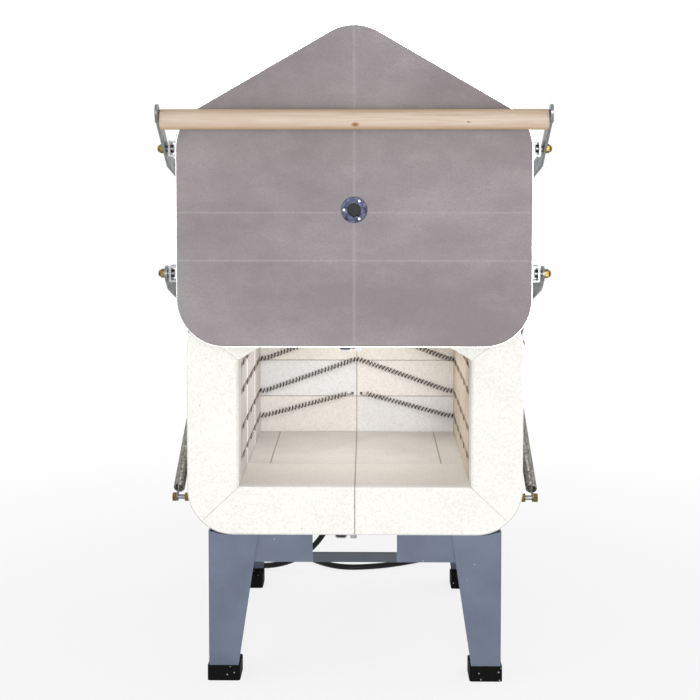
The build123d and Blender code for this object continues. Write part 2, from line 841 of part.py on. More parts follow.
bar_face = half_body + pivot_bar_thickness
bolt_tip = half_body - bolt_depth + bolt_end_gap
with BuildPart() as right_bar_bolts:
    for height in pivot_bar_bolt_heights:
        z = stand_height + height
        with BuildSketch(Plane.YZ.offset(bar_face)) as bolt_head:
            with Locations((pivot_y, z)):
                RegularPolygon(bolt_head_radius, 6, major_radius=False)
        extrude(bolt_head.sketch, amount=bolt_head_height)
        rod_x(bolt_tip, pivot_y, z, pivot_radius, bar_face - bolt_tip)
with BuildPart() as pivot_bar_bolts:
    both_sides(right_bar_bolts.part)
keep(pivot_bar_bolts, "pivot_bar_bolts")

with BuildPart() as right_studs:
    for y, z in (upper_body_pivot, lower_body_pivot):
        rod_x(half_body, y, z, pivot_radius, pivot_bar_thickness + arm_washer + arm_thickness + nut_height)
        rod_x(bar_face, y, z, washer_radius, arm_washer)
with BuildPart() as body_pivot_studs:
    both_sides(right_studs.part)
keep(body_pivot_studs, "body_pivot_studs")

with BuildPart() as body_pivot_nuts:
    place_nuts(arm_inner_face + side_gap, (upper_body_pivot, lower_body_pivot))
keep(body_pivot_nuts, "body_pivot_nuts")

# Springs, hooked between an anchor low on the body and the tails of the lower arms
tail_y, tail_z = along_arm(lower_body_pivot, -tail_length)
spring_length = hypot(tail_y - anchor_y, tail_z - anchor_z)
spring_angle = atan2(tail_z - anchor_z, tail_y - anchor_y)
anchor_bolt_end = spring_plane + spring_wire + nut_height


def plain_nut(x, y, z):
    """A hexagon nut with a clear bore, its inner face at x."""
    with BuildSketch(Plane.YZ.offset(x)) as hexagon:
        with Locations((y, z)):
            RegularPolygon(nut_across_flats / 2, 6, major_radius=False)
            Circle(pivot_radius + fit_clearance, mode=Mode.SUBTRACT)
    extrude(hexagon.sketch, amount=nut_height)


with BuildPart() as right_anchor:
    rod_x(bolt_tip, anchor_y, anchor_z, pivot_radius, anchor_bolt_end - bolt_tip)
with BuildPart() as spring_anchor_bolts:
    both_sides(right_anchor.part)
keep(spring_anchor_bolts, "spring_anchor_bolts")

outer_nut_x = spring_plane + spring_wire + side_gap
with BuildPart() as right_anchor_nuts:
    plain_nut(half_body, anchor_y, anchor_z)
    plain_nut(outer_nut_x, anchor_y, anchor_z)
with BuildPart() as spring_anchor_nuts:
    both_sides(right_anchor_nuts.part)
keep(spring_anchor_nuts, "spring_anchor_nuts")

with BuildPart() as right_tail_bolt:
    rod_x(arm_inner_plane - tail_head_height, tail_y, tail_z, bolt_head_radius, tail_head_height)
    rod_x(arm_inner_plane, tail_y, tail_z, pivot_radius, anchor_bolt_end - arm_inner_plane)
    plain_nut(outer_nut_x, tail_y, tail_z)
keep(right_tail_bolt, "right_tail_bolt")
keep_image(right_tail_bolt, Plane.YZ, "left_tail_bolt")


def spring_half(y, z, angle):
    """One hook and half of the coil's outline, from a bolt towards the spring's middle."""
    hook_shift = hook_radius - spring_wire - pivot_radius - side_gap
    along = (0, cos(angle), sin(angle))
    from_bolt = Plane(origin=(spring_plane, y, z), x_dir=(1, 0, 0), z_dir=along)
    with Locations(Plane(origin=from_bolt.offset(hook_shift).origin, x_dir=along, z_dir=(1, 0, 0))):
        Torus(hook_radius, spring_wire)
    neck_start = hook_shift + hook_radius
    with BuildSketch(from_bolt.offset(neck_start)) as neck:
        Circle(spring_wire)
    extrude(neck.sketch, amount=hook_length - neck_start)
    with BuildSketch(from_bolt.offset(hook_length)) as coil:
        Circle(spring_radius)
    extrude(coil.sketch, amount=(spring_length - joint_gap) / 2 - hook_length)


for place, y, z, angle in (
    ("near", anchor_y, anchor_z, spring_angle),
    ("far", tail_y, tail_z, spring_angle + radians(180)),
):
    with BuildPart() as right_spring_half:
        spring_half(y, z, angle)
    keep(right_spring_half, f"right_spring_{place}_half")
    keep_image(right_spring_half, Plane.YZ, f"left_spring_{place}_half")

# Back panel, wiring box and what is in it
panel_y = at_depth(body_depth + panel_thickness)
box_centre = stand_height + box_bottom + box_height / 2
box_screw_x = (box_width + box_flange) / 2
box_screw_rise = box_height / 2 - box_flange
box_screws = []
for x in (-box_screw_x, box_screw_x):
    for rise in (-box_screw_rise, box_screw_rise):
        box_screws.append((x, box_centre + rise))
rim = half_body - panel_screw_inset
roof_rim = stand_height + eave_height - panel_screw_inset / cos(pitch)
panel_screws = []
for side in (-1, 1):
    for height in panel_side_screws:
        panel_screws.append((side * rim, stand_height + height))
    panel_screws.append((side * panel_floor_screw, stand_height + panel_screw_inset))
    for x in panel_roof_screws:
        panel_screws.append((side * x, roof_rim + (half_body - x) * tan(pitch)))
with BuildPart() as back_panel:
    extrude(house(0, stand_height, body_depth), amount=-panel_thickness)
    drill_tail_holes(2 * body_depth)
    for x, z in panel_screws + box_screws:
        drill_y(x, panel_y, z, screw_radius + screw_clearance, foot_size)
keep(back_panel, "back_panel")

with BuildPart() as terminal_box_cover:
    with Locations((0, panel_y, box_centre)):
        Box(box_width, box_depth, box_height, align=(Align.CENTER, Align.MIN, Align.CENTER))
    fillet(terminal_box_cover.faces().sort_by(Axis.Y)[-1].edges(), box_corner)
    with Locations((0, panel_y, box_centre)):
        inside = [size - 2 * box_sheet for size in (box_width, 2 * box_depth, box_height)]
        Box(*inside, mode=Mode.SUBTRACT)
    for x in (-box_screw_x, box_screw_x):
        with Locations((x, panel_y, box_centre)):
            Box(box_flange, box_sheet, box_height, align=(Align.CENTER, Align.MIN, Align.CENTER))
    for row in range(vent_count):
        for end in (-1, 1):
            z = box_centre + end * (box_height / 2 - vent_margin - row * vent_pitch)
            with Locations((0, panel_y + box_depth, z)):
                Box(vent_width, box_depth, vent_height, mode=Mode.SUBTRACT)
    for x, z in box_screws:
        drill_y(x, panel_y, z, screw_radius + screw_clearance, foot_size)
keep(terminal_box_cover, "terminal_box_cover")

with BuildPart() as rear_screw:
    Cylinder(screw_radius, panel_thickness, align=(Align.CENTER, Align.CENTER, Align.MAX))
    Cylinder(screw_head_radius, screw_head_height, align=(Align.CENTER, Align.CENTER, Align.MIN))
    fillet(rear_screw.faces().sort_by(Axis.Z)[-1].edges(), screw_head_height / 2)
with BuildPart() as rear_screws:
    for x, z in panel_screws:
        with Locations(Location((x, panel_y, z), (-90, 0, 0))):
            add(rear_screw.part)
    for x, z in box_screws:
        with Locations(Location((x, panel_y + box_sheet, z), (-90, 0, 0))):
            add(rear_screw.part)
keep(rear_screws, "rear_screws")

with BuildPart() as terminal_blocks:
    for rows in element_rows.values():
        with Locations((0, panel_y, chamber_floor + rows["split"])):
            Box(block_width, block_depth, block_height, align=(Align.CENTER, Align.MIN, Align.CENTER))
    chamfer(terminal_blocks.edges().filter_by(Axis.Y), block_chamfer)
    drill_tail_holes(2 * body_depth)
keep(terminal_blocks, "terminal_blocks")

with BuildPart() as terminal_screws:
    for rows in element_rows.values():
        for x in (-block_screw_offset, block_screw_offset):
            with Locations((x, panel_y + block_depth, chamber_floor + rows["split"])):
                Cylinder(block_screw_radius, block_screw_height, rotation=(-90, 0, 0),
                         align=(Align.CENTER, Align.CENTER, Align.MIN))
keep(terminal_screws, "terminal_screws")

gland_depth = body_depth + panel_thickness + box_depth / 2
gland_y = at_depth(gland_depth)
gland_top = stand_height + box_bottom
gland_bottom = gland_top - gland_nut_height - gland_collar_height - gland_taper_height
with BuildPart() as cord_gland:
    with BuildSketch(Plane.XY.offset(gland_top)):
        with Locations((gland_offset, gland_y)):
            RegularPolygon(gland_nut_radius, 6)
    extrude(amount=-gland_nut_height)
    with BuildSketch(Plane.XY.offset(gland_top - gland_nut_height)):
        with Locations((gland_offset, gland_y)):
            Circle(gland_collar_radius)
    extrude(amount=-gland_collar_height)
    with BuildSketch(Plane.XY.offset(gland_bottom + gland_taper_height)):
        with Locations((gland_offset, gland_y)):
            Circle(gland_collar_radius)
    with BuildSketch(Plane.XY.offset(gland_bottom)):
        with Locations((gland_offset, gland_y)):
            Circle(gland_tip_radius)
    loft()
keep(cord_gland, "cord_gland")

# Power cord: down the back, then in loose loops on the floor behind the stand
on_floor = cord_radius + 0.3
plug_axis = plug_radius + 0.3
cord_places = [
    (gland_offset, gland_depth, 272),
    (-36, 572, 207),
    (-48, 579, 143),
    (-70, 586, 88),
    (-106, 594, 44),
    (-155, 603, 17),
    (-210, 614, on_floor),
    (-268, 642, on_floor),
    (-300, 700, on_floor),
    (-286, 762, on_floor),
    (-230, 793, on_floor),
    (-171, 770, on_floor),
    (-126, 716, on_floor),
    (-92, 652, on_floor),
    (-34, 608, on_floor),
    (44, 618, on_floor),
    (113, 650, on_floor),
    (181, 700, on_floor),
    (222, 768, on_floor),
    (206, 842, on_floor),
    (143, 886, on_floor),
    (66, 898, on_floor),
    (-9, 886, on_floor),
    (-83, 882, on_floor),
    (-152, 894, plug_axis),
    (-210, 912, plug_axis),
]
cord_route = [(gland_offset, gland_y, gland_bottom)]
cord_route += [(x, at_depth(depth), z) for x, depth, z in cord_places]


arc_share = 0.45


def route_radii(points):
    """An arc at each corner, as large as its two runs allow."""
    radii = []
    for before, corner, after in zip(points, points[1:], points[2:]):
        run_in, run_out = Vector(*corner) - Vector(*before), Vector(*after) - Vector(*corner)
        half_turn = radians(run_in.get_angle(run_out)) / 2
        radii.append(arc_share * min(run_in.length, run_out.length) / tan(half_turn))
    return radii


cord_radii = route_radii(cord_route)
with BuildPart() as cord:
    with BuildLine() as cord_path:
        FilletPolyline(*cord_route, radius=cord_radii)
    with BuildSketch(Plane(cord_path.line @ 0, z_dir=cord_path.line % 0)):
        Circle(cord_radius)
    sweep()
keep(cord, "cord")
cord_length = cord_path.wire().length
section = pi * cord_radius**2
print("cord radii", [round(radius) for radius in cord_radii])
print("cord length", round(cord_length), "volume share", round(cord.part.volume / (section * cord_length), 4))

cord_end = Vector(*cord_route[-1])
plug_direction = (cord_end - Vector(*cord_route[-2])).normalized()
plug_frame = Plane(origin=cord_end, x_dir=plug_direction.cross(Vector(0, 0, 1)), z_dir=plug_direction)
with BuildPart() as plug_body:
    with BuildSketch(plug_frame):
        Circle(plug_relief_radius)
    with BuildSketch(plug_frame.offset(plug_relief_length)):
        Circle(plug_shoulder_radius)
    loft()
    with BuildSketch(plug_frame.offset(plug_relief_length)) as plug_section:
        Circle(plug_radius)
    extrude(plug_section.sketch, amount=plug_length)
    rims = plug_body.edges().filter_by(GeomType.CIRCLE).sort_by(Axis((0, 0, 0), tuple(plug_direction)))
    fillet([rim for rim in rims if abs(rim.radius - plug_radius) < plug_rounding / 2], plug_rounding)
keep(plug_body, "plug_body")

with BuildPart() as plug_blades:
    with BuildSketch(plug_frame.offset(plug_relief_length + plug_length)):
        with Locations((-blade_spacing / 2, blade_rise), (blade_spacing / 2, blade_rise)):
            Rectangle(blade_thickness, blade_width)
        with Locations((0, blade_rise - ground_pin_drop)):
            Circle(ground_pin_radius)
    extrude(amount=blade_length)
keep(plug_blades, "plug_blades")
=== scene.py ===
# %% [markdown]
# # An electric kiln with its door raised
#
# The kiln's solids come from a finished frame and stay where they are. This lesson lays the power cord,
# winds the real heating coils and springs, gives every part its surface, and sets floor and light.

from math import cos, hypot, pi, sin, tan

import bpy
from mathutils import Matrix, Vector


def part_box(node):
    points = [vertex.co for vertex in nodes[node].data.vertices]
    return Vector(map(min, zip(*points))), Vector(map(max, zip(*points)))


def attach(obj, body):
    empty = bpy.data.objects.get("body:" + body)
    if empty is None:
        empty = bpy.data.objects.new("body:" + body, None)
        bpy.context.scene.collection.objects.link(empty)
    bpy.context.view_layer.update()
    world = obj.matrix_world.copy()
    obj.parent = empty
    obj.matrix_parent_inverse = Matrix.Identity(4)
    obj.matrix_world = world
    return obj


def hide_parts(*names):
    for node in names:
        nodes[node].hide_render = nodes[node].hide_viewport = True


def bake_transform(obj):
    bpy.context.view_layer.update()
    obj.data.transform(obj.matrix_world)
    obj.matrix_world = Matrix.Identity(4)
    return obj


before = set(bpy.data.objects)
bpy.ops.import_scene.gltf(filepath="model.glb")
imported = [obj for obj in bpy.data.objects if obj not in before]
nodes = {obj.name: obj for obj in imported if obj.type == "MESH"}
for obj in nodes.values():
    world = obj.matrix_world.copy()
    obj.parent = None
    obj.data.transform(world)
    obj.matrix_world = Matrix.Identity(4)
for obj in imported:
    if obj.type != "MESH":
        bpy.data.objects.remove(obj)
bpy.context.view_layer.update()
bpy.ops.object.select_all(action="DESELECT")

# %% [markdown]
# Places on the kiln are counted from the plane of its mouth and from the chamber's floor, as a kiln
# builder would: a depth is a distance behind the mouth. Both planes are read from the frame, so every
# place stays true to the solids.

# %% Places
mm = 0.001
front_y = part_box("body_jacket")[0].y
chamber_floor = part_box("floor_bricks")[1].z
chamber_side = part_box("right_wall_bricks")[0].x
chamber_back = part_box("back_wall_bricks")[0].y


def at_depth(depth):
    """Y of a place this many millimetres behind the mouth."""
    return front_y + depth * mm


def over_floor(height):
    """Z of a place this many millimetres above the chamber's floor."""
    return chamber_floor + height * mm


def box_centre(name):
    """The middle of a node's box."""
    low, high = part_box(name)
    return (low + high) / 2


print("mouth", round(front_y, 4), "floor", round(chamber_floor, 4), "wall", round(chamber_side, 4))

# %% [markdown]
# ## Camera
#
# In the photograph the kiln's uprights stay nearly upright, though the camera stood nine tenths of a metre
# high and the picture reaches down to the feet. A camera that only tilts would make the uprights meet. So
# most of the way down is made by moving the picture behind the lens, which Blender calls shift, and a small
# tilt makes the rest.

# %% Camera
picture_width = 700
focal_pixels = 1310.5
shift_pixels = -120
camera_distance = 2.205
camera_x = 0.02
camera_z = 0.8856
tilt_down = 2.91 * pi / 180
turn_left = 0.73 * pi / 180

bpy.ops.object.camera_add(
    location=(camera_x, front_y - camera_distance, camera_z), rotation=(pi / 2 - tilt_down, 0, turn_left),
)
camera = bpy.context.object
camera.name = "camera"
camera.data.sensor_width = 36
camera.data.lens = focal_pixels / picture_width * camera.data.sensor_width
camera.data.shift_y = shift_pixels / picture_width
camera.data.clip_start = 0.05
bpy.context.scene.camera = camera
print("lens", round(camera.data.lens, 1), "mm, shift", round(camera.data.shift_y, 3))

# %% [markdown]
# ## Colours and finishes
#
# Colours are chosen as they look on a screen, and Blender's shaders want them linear, so one function
# turns them. A second one adds a node with its settings and its links in a single line.

# %% Helpers for colours and nodes
def from_hex(code):
    """A screen colour such as #8c8a88 as the linear colour that a shader takes."""
    linear = []
    for start in (1, 3, 5):
        value = int(code[start:start + 2], 16) / 255
        linear.append(value / 12.92 if value <= 0.04045 else ((value + 0.055) / 1.055) ** 2.4)
    return (*linear, 1)


def add_node(tree, kind, inputs=None, **settings):
    """Adds a node. Each of its inputs gets a value, or a link where a socket is given."""
    node = tree.nodes.new(kind)
    for name, value in settings.items():
        setattr(node, name, value)
    for key, value in (inputs or {}).items():
        if isinstance(value, bpy.types.NodeSocket):
            tree.links.new(value, node.inputs[key])
        else:
            node.inputs[key].default_value = value
    return node


def new_finish(name, roughness, metallic=0.0):
    """A material with its shader's constants set. Returns it with its tree, shader and coordinates."""
    finish = bpy.data.materials.new(name)
    finish.use_nodes = True
    tree = finish.node_tree
    shader = tree.nodes["Principled BSDF"]
    shader.inputs["Roughness"].default_value = roughness
    shader.inputs["Metallic"].default_value = metallic
    place = add_node(tree, "ShaderNodeTexCoord").outputs["Object"]
    return finish, tree, shader, place


def per_metre(size_mm):
    """The scale of a texture whose features are this many millimetres wide."""
    return 1000 / size_mm


def paint(names, finish):
    """Gives CAD nodes a finish."""
    for name in names:
        slots = nodes[name].data.materials
        slots.clear()
        slots.append(finish)
    print(finish.name, "on", len(names), "nodes")


# %% [markdown]
# ## Mains cord: black rubber
#
# The cord's skin is extruded rubber compound: near black, half matte, with the faint ripple that the
# extruder leaves along it. The ripple is a fraction of a millimetre in truth, and is drawn 3 mm wide so
# that it shows.

# %% Cord rubber
cord_rubber, tree, shader, place = new_finish("extruded_cord_rubber", roughness=0.42)
shader.inputs["Specular IOR Level"].default_value = 0.2
ripple = add_node(tree, "ShaderNodeTexNoise", {"Vector": place, "Scale": per_metre(3), "Detail": 3})
tone = add_node(
    tree, "ShaderNodeMix",
    {0: ripple.outputs["Fac"], 6: from_hex("#0b0b0c"), 7: from_hex("#1d1c1c")}, data_type="RGBA",
)
tree.links.new(tone.outputs[2], shader.inputs["Base Color"])
bump = add_node(
    tree, "ShaderNodeBump", {"Height": ripple.outputs["Fac"], "Distance": 0.1 * mm, "Strength": 0.5},
)
tree.links.new(bump.outputs["Normal"], shader.inputs["Normal"])
print("finish", cord_rubber.name)

# %% [markdown]
# ## The power cord
#
# A rubber cord 12 mm thick leaves the wiring box through its gland, hangs down behind the stand and
# lies on the floor in loose loops, as the photograph shows below the front rail. It is one smooth NURBS
# line through places listed in millimetres, from the gland to the plug.

# %% Cord
gland_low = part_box("cord_gland")[0].z
on_floor = 6.3
plug_axis = 21.3
cord_places = [
    (-30, 566.2, gland_low / mm),
    (-30, 566.2, 272),
    (-36, 572, 207),
    (-48, 579, 143),
    (-70, 586, 88),
    (-106, 594, 44),
    (-155, 603, 17),
    (-210, 614, on_floor),
    (-268, 642, on_floor),
    (-300, 700, on_floor),
    (-286, 762, on_floor),
    (-230, 793, on_floor),
    (-171, 770, on_floor),
    (-126, 716, on_floor),
    (-92, 652, on_floor),
    (-34, 608, on_floor),
    (44, 618, on_floor),
    (113, 650, on_floor),
    (181, 700, on_floor),
    (222, 768, on_floor),
    (206, 842, on_floor),
    (143, 886, on_floor),
    (66, 898, on_floor),
    (-9, 886, on_floor),
    (-83, 882, on_floor),
    (-152, 894, plug_axis),
    (-210, 912, plug_axis),
]
cord_points = [(x * mm, at_depth(depth), z * mm) for x, depth, z in cord_places]
cord_line = bpy.data.curves.new("power_cord", "CURVE")
cord_line.dimensions = "3D"
cord_line.bevel_depth = 0.006
cord_line.bevel_resolution = 5
cord_line.resolution_u = 10
cord_line.use_fill_caps = True
spline = cord_line.splines.new("NURBS")
spline.points.add(len(cord_points) - 1)
for point, xyz in zip(spline.points, cord_points):
    point.co = (*xyz, 1)
spline.order_u = 3
spline.use_endpoint_u = True
power_cord = bpy.data.objects.new("power_cord", cord_line)
bpy.context.scene.collection.objects.link(power_cord)
power_cord.data.materials.append(cord_rubber)
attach(power_cord, "root")
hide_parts("cord")
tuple(cord_points[0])
print("cord", len(cord_points), "places")

# %% [markdown]
# ## Wire: one way to make coils, tails, hooks and staples
#
# Everything made of wire here starts from one of two things. A winding is a small circle that a Screw
# modifier carries round and along, as a winding lathe lays wire on its mandrel. A bent wire is a line
# with rounded corners that is given a round section. A winding then follows such a line by a Curve
# modifier, which bends it as the kiln builder bends the coil into its groove.

# %% Helpers for wire
def pick(piece):
    """Selects one object alone, and makes it the active one."""
    bpy.ops.object.select_all(action="DESELECT")
    piece.select_set(True)
    bpy.context.view_layer.objects.active = piece


def rounded_line(name, corners, bends):
    """A line through corners in metres, each inner one rounded to its radius in millimetres."""
    line = bpy.data.curves.new(name, "CURVE")
    line.dimensions = "3D"
    line.resolution_u = 8
    spots = [Vector(corner) for corner in corners]
    knots = [(spots[0], Vector())]
    for before, corner, after, bend in zip(spots, spots[1:], spots[2:], bends):
        arriving, leaving = (corner - before).normalized(), (after - corner).normalized()
        turn = arriving.angle(leaving)
        reach = bend * mm * tan(turn / 2)
        pull = bend * mm * 4 / 3 * tan(turn / 4)
        knots += [(corner - arriving * reach, arriving * pull), (corner + leaving * reach, leaving * pull)]
    knots.append((spots[-1], Vector()))
    spline = line.splines.new("BEZIER")
    spline.bezier_points.add(len(knots) - 1)
    for point, (spot, pull) in zip(spline.bezier_points, knots):
        point.co, point.handle_left, point.handle_right = spot, spot - pull, spot + pull
    piece = bpy.data.objects.new(name, line)
    bpy.context.scene.collection.objects.link(piece)
    return piece


def bent_wire(name, corners, bends, radius_mm, sides=3):
    """A round wire along a rounded line, as a mesh with closed ends."""
    piece = rounded_line(name, corners, bends)
    piece.data.bevel_depth = radius_mm * mm
    piece.data.bevel_resolution = sides - 2
    piece.data.use_fill_caps = True
    pick(piece)
    bpy.ops.object.convert(target="MESH")
    return bpy.context.object


def winding(name, radius_mm, wire_mm, pitch_mm, length, steps=12, sides=6):
    """A helix of round wire from the origin along X, with closed ends. Its inner side is marked for painted
    shade.
    """
    bpy.ops.mesh.primitive_circle_add(
        vertices=sides, radius=wire_mm * mm, location=(0, 0, radius_mm * mm), rotation=(pi / 2, 0, 0),
    )
    piece = bpy.context.object
    piece.name = name
    bpy.ops.object.transform_apply(location=True, rotation=True)
    turns = round(length / (pitch_mm * mm))
    screw = piece.modifiers.new("lathe", "SCREW")
    screw.axis = "X"
    screw.screw_offset = length / turns
    screw.iterations = turns
    screw.steps = steps
    screw.render_steps = steps
    bpy.ops.object.modifier_apply(modifier=screw.name)
    bpy.ops.object.mode_set(mode="EDIT")
    bpy.ops.mesh.select_all(action="SELECT")
    bpy.ops.mesh.fill_holes(sides=sides)
    bpy.ops.mesh.normals_make_consistent(inside=False)
    bpy.ops.object.mode_set(mode="OBJECT")
    # The inner side is marked so that the heating wire can be painted dark there, as painted shade.
    inner = piece.data.attributes.new("shaded_inner_side", "FLOAT", "POINT")
    for vertex, mark in zip(piece.data.vertices, inner.data):
        mark.value = float(hypot(vertex.co.y, vertex.co.z) < radius_mm * mm)
    return piece


def join_pieces(name, pieces):
    """Makes several meshes one piece."""
    pick(pieces[0])
    for piece in pieces[1:]:
        piece.select_set(True)
    bpy.ops.object.join()
    joined = bpy.context.object
    joined.name = joined.data.name = name
    joined.data.polygons.foreach_set("use_smooth", [True] * len(joined.data.polygons))
    return joined


# %% [markdown]
# ### Finish: metals in two tones
#
# Most of the kiln's metals differ in tone, gloss and grain, but not in kind: two tones drift into each
# other in patches, the gloss drifts with them, and a shallow bump breaks the highlights. One recipe
# makes them all.

# %% Metals in two tones
def metal_patches(name, bright, dull, patch_mm, roughness, bump_mm, stretch=(1, 1, 1)):
    """A metal whose colour and gloss drift between two tones. A stretch under 1 draws the patches out."""
    finish, tree, shader, place = new_finish(name, roughness, metallic=1.0)
    drawn = add_node(tree, "ShaderNodeMapping", {"Vector": place, "Scale": stretch})
    patches = add_node(
        tree, "ShaderNodeTexNoise",
        {"Vector": drawn.outputs["Vector"], "Scale": per_metre(patch_mm), "Detail": 6, "Roughness": 0.6},
    )
    share = add_node(tree, "ShaderNodeMapRange", {0: patches.outputs["Fac"], 1: 0.35, 2: 0.68})
    tone = add_node(
        tree, "ShaderNodeMix",
        {0: share.outputs[0], 6: from_hex(bright), 7: from_hex(dull)}, data_type="RGBA",
    )
    tree.links.new(tone.outputs[2], shader.inputs["Base Color"])
    gloss = add_node(
        tree, "ShaderNodeMapRange",
        {0: patches.outputs["Fac"], 1: 0.3, 2: 0.7, 3: roughness * 0.85, 4: roughness * 1.15},
    )
    tree.links.new(gloss.outputs[0], shader.inputs["Roughness"])
    bump = add_node(
        tree, "ShaderNodeBump",
        {"Height": patches.outputs["Fac"], "Distance": bump_mm * mm, "Strength": 0.4},
    )
    tree.links.new(bump.outputs["Normal"], shader.inputs["Normal"])
    return finish


# %% [markdown]
# ### Finish: heating wire
#
# The coils are iron-chromium-aluminium resistance wire. Its outer side is pale grey: partly the skin of
# alumina that grows in the first firing, and partly a painted highlight. The inner side of each turn is
# painted nearly black as painted shade, the shade inside the coil, so the coils read as pale turns with
# dark gaps. The winding marked that side with an attribute, which the material reads here.

# %% Heating wire
# Pale outer tone: the alumina skin, and partly a painted highlight.
element_wire = metal_patches("oxidised_wire_painted_highlight_and_shade", "#c9c5c0", "#77716b", 4, 0.45, 0.05)
tree = element_wire.node_tree
shader = tree.nodes["Principled BSDF"]
outer_tone = shader.inputs["Base Color"].links[0].from_socket
# The inner side of each turn is painted nearly black: painted shade inside the coil.
shaded_inner_side = add_node(tree, "ShaderNodeAttribute", attribute_name="shaded_inner_side")
two_sides = add_node(
    tree, "ShaderNodeMix",
    {0: shaded_inner_side.outputs["Fac"], 6: outer_tone, 7: from_hex("#15120f")}, data_type="RGBA",
)
tree.links.new(two_sides.outputs[2], shader.inputs["Base Color"])
print("finish", element_wire.name)

# %% [markdown]
# ## Heating elements
#
# Each of the two elements is one coil. It climbs in a chevron over the back wall, runs forward in a
# groove of the side wall, turns up behind the mouth, runs back in the next groove, and crosses the back
# wall in a second, taller chevron. Its two ends come together in the middle and leave straight through
# the back wall. The route is given for the right half, and mirrored for the left.

# %% Routes of the elements
coil_radius = 4.3
coil_wire = 1.2
coil_pitch = 7
element_x = chamber_side + 6.5 * mm
element_y = chamber_back - 5.5 * mm
element_front_y = at_depth(58)
coil_end_x = 22 * mm
chevron_start_x = chamber_side - 10.5 * mm
tail_x = 9 * mm
tail_end_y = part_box("lower_element")[1].y
element_rows = {
    "lower_element": {"low": 35, "high": 86, "split": 79, "peak": 152},
    "upper_element": {"low": 152, "high": 200, "split": 214, "peak": 263},
}
print("rows", {name: rows["peak"] for name, rows in element_rows.items()}, "mm over the floor at the peaks")


def right_half_route(rows):
    """Corners of an element's right half, from its split end to its last corner before the peak."""
    low, high, split = (over_floor(rows[key]) for key in ("low", "high", "split"))
    return [
        (coil_end_x, element_y, split),
        (chevron_start_x, element_y, low),
        (element_x, element_y, low),
        (element_x, element_front_y, low),
        (element_x, element_front_y, high),
        (element_x, element_y, high),
        (chevron_start_x, element_y, high),
    ]


# %% Wind the elements
for name, rows in element_rows.items():
    right = right_half_route(rows)
    left = [(-x, y, z) for x, y, z in right]
    route = [*left, (0, element_y, over_floor(rows["peak"])), *reversed(right)]
    half_bends = [30, 6.5, 6.5, 6.5, 6.5, 30]
    path = rounded_line(f"{name}_route", route, [*half_bends, 30, *reversed(half_bends)])
    path_length = path.data.splines[0].calc_length()
    coil = winding(name, coil_radius, coil_wire, coil_pitch, path_length, steps=12, sides=6)
    follow = coil.modifiers.new("groove", "CURVE")
    follow.object = path
    pick(coil)
    bpy.ops.object.modifier_apply(modifier=follow.name)
    bpy.data.objects.remove(path)
    split_z = over_floor(rows["split"])
    pieces = [coil]
    for side in (-1, 1):
        tail_corners = [
            (side * (coil_end_x + 2 * mm), element_y, split_z + coil_radius * mm),
            (side * (coil_end_x - 3 * mm), element_y, split_z),
            (side * tail_x, element_y, split_z),
            (side * tail_x, tail_end_y, split_z),
        ]
        pieces.append(bent_wire(f"{name}_tail", tail_corners, [3, 4], 1.75, sides=4))
    element = join_pieces(f"{name}_coil", pieces)
    element.data.materials.clear()
    element.data.materials.append(element_wire)
    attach(element, "root")
    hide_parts(name)
    print(name, "path", round(path_length, 3), "m, triangles", 2 * len(element.data.polygons))

# %% [markdown]
# ### Staples
#
# The coils would creep out of their grooves when they are hot, so the builder pins them with staples of
# plain wire, pushed into the soft brick across the coil. They rust brown. A staple is a wire with two
# corners, and is placed by the coil's middle and by the side of the chamber that it is on.

# %% Staples
staple_wire = 0.8
staple_half_span = coil_radius + coil_wire + 1.2
staple_leg = 12
staple_depths = (100, 176, 252, 328, 404)


def staple(side, depth, height):
    """A staple over the coil in a side groove, its legs in the brick."""
    y, z = at_depth(depth), over_floor(height)
    top_x = side * (element_x - (coil_radius + coil_wire + staple_wire) * mm)
    deep_x = side * (element_x + staple_leg * mm)
    low, high = z - staple_half_span * mm, z + staple_half_span * mm
    corners = [(deep_x, y, low), (top_x, y, low), (top_x, y, high), (deep_x, y, high)]
    return bent_wire("staple", corners, [2, 2], staple_wire)


staples = []
for rows in element_rows.values():
    for side in (-1, 1):
        for key in ("low", "high"):
            for depth in staple_depths:
                staples.append(staple(side, depth, rows[key]))
staple_count = len(staples)
coil_staples = join_pieces("coil_staples", staples)
coil_staples.data.materials.clear()
coil_staples.data.materials.append(metal_patches("rusty_staple_wire", "#9c7358", "#6b4a36", 3, 0.7, 0.1))
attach(coil_staples, "root")
print("staples", staple_count)

# %% [markdown]
# ## Springs
#
# A long extension spring on each side takes the door's weight. It is close wound from hard-drawn wire,
# with a full hook at each end: the lower one round a bolt of the body, the upper one round a bolt in the
# arm's tail. Its wound part stretches when the door comes down.

# %% Spring wire
spring_steel = metal_patches("hard_drawn_spring_wire", "#a2a19a", "#55534c", 5, 0.3, 0.03)
print("finish", spring_steel.name)

# %% Hooks
spring_radius = 8.75
spring_wire = 1.25
hook_radius = 7.5
hook_shift = 1.95
hook_length = 22
ring_steps = 14


def radians_of_ring(step):
    """The ring of a hook starts just over the shank and goes once round, down to the shank."""
    start, end = 0.12 * pi, 1.92 * pi
    return start + (end - start) * step / ring_steps


def hook(name):
    """A hook round the origin's bolt, whose shank runs along X to the wound part."""
    ring = []
    for step in range(ring_steps + 1):
        angle = radians_of_ring(step)
        ring.append((hook_shift + hook_radius * cos(angle), 0, hook_radius * sin(angle)))
    corners = [*ring, (hook_length - 8, 0, 0), (hook_length - 5, 0, 0), (hook_length, 0, spring_radius)]
    corners = [(x * mm, y * mm, z * mm) for x, y, z in corners]
    return bent_wire(name, corners, [2] * (len(corners) - 2), spring_wire, sides=5)


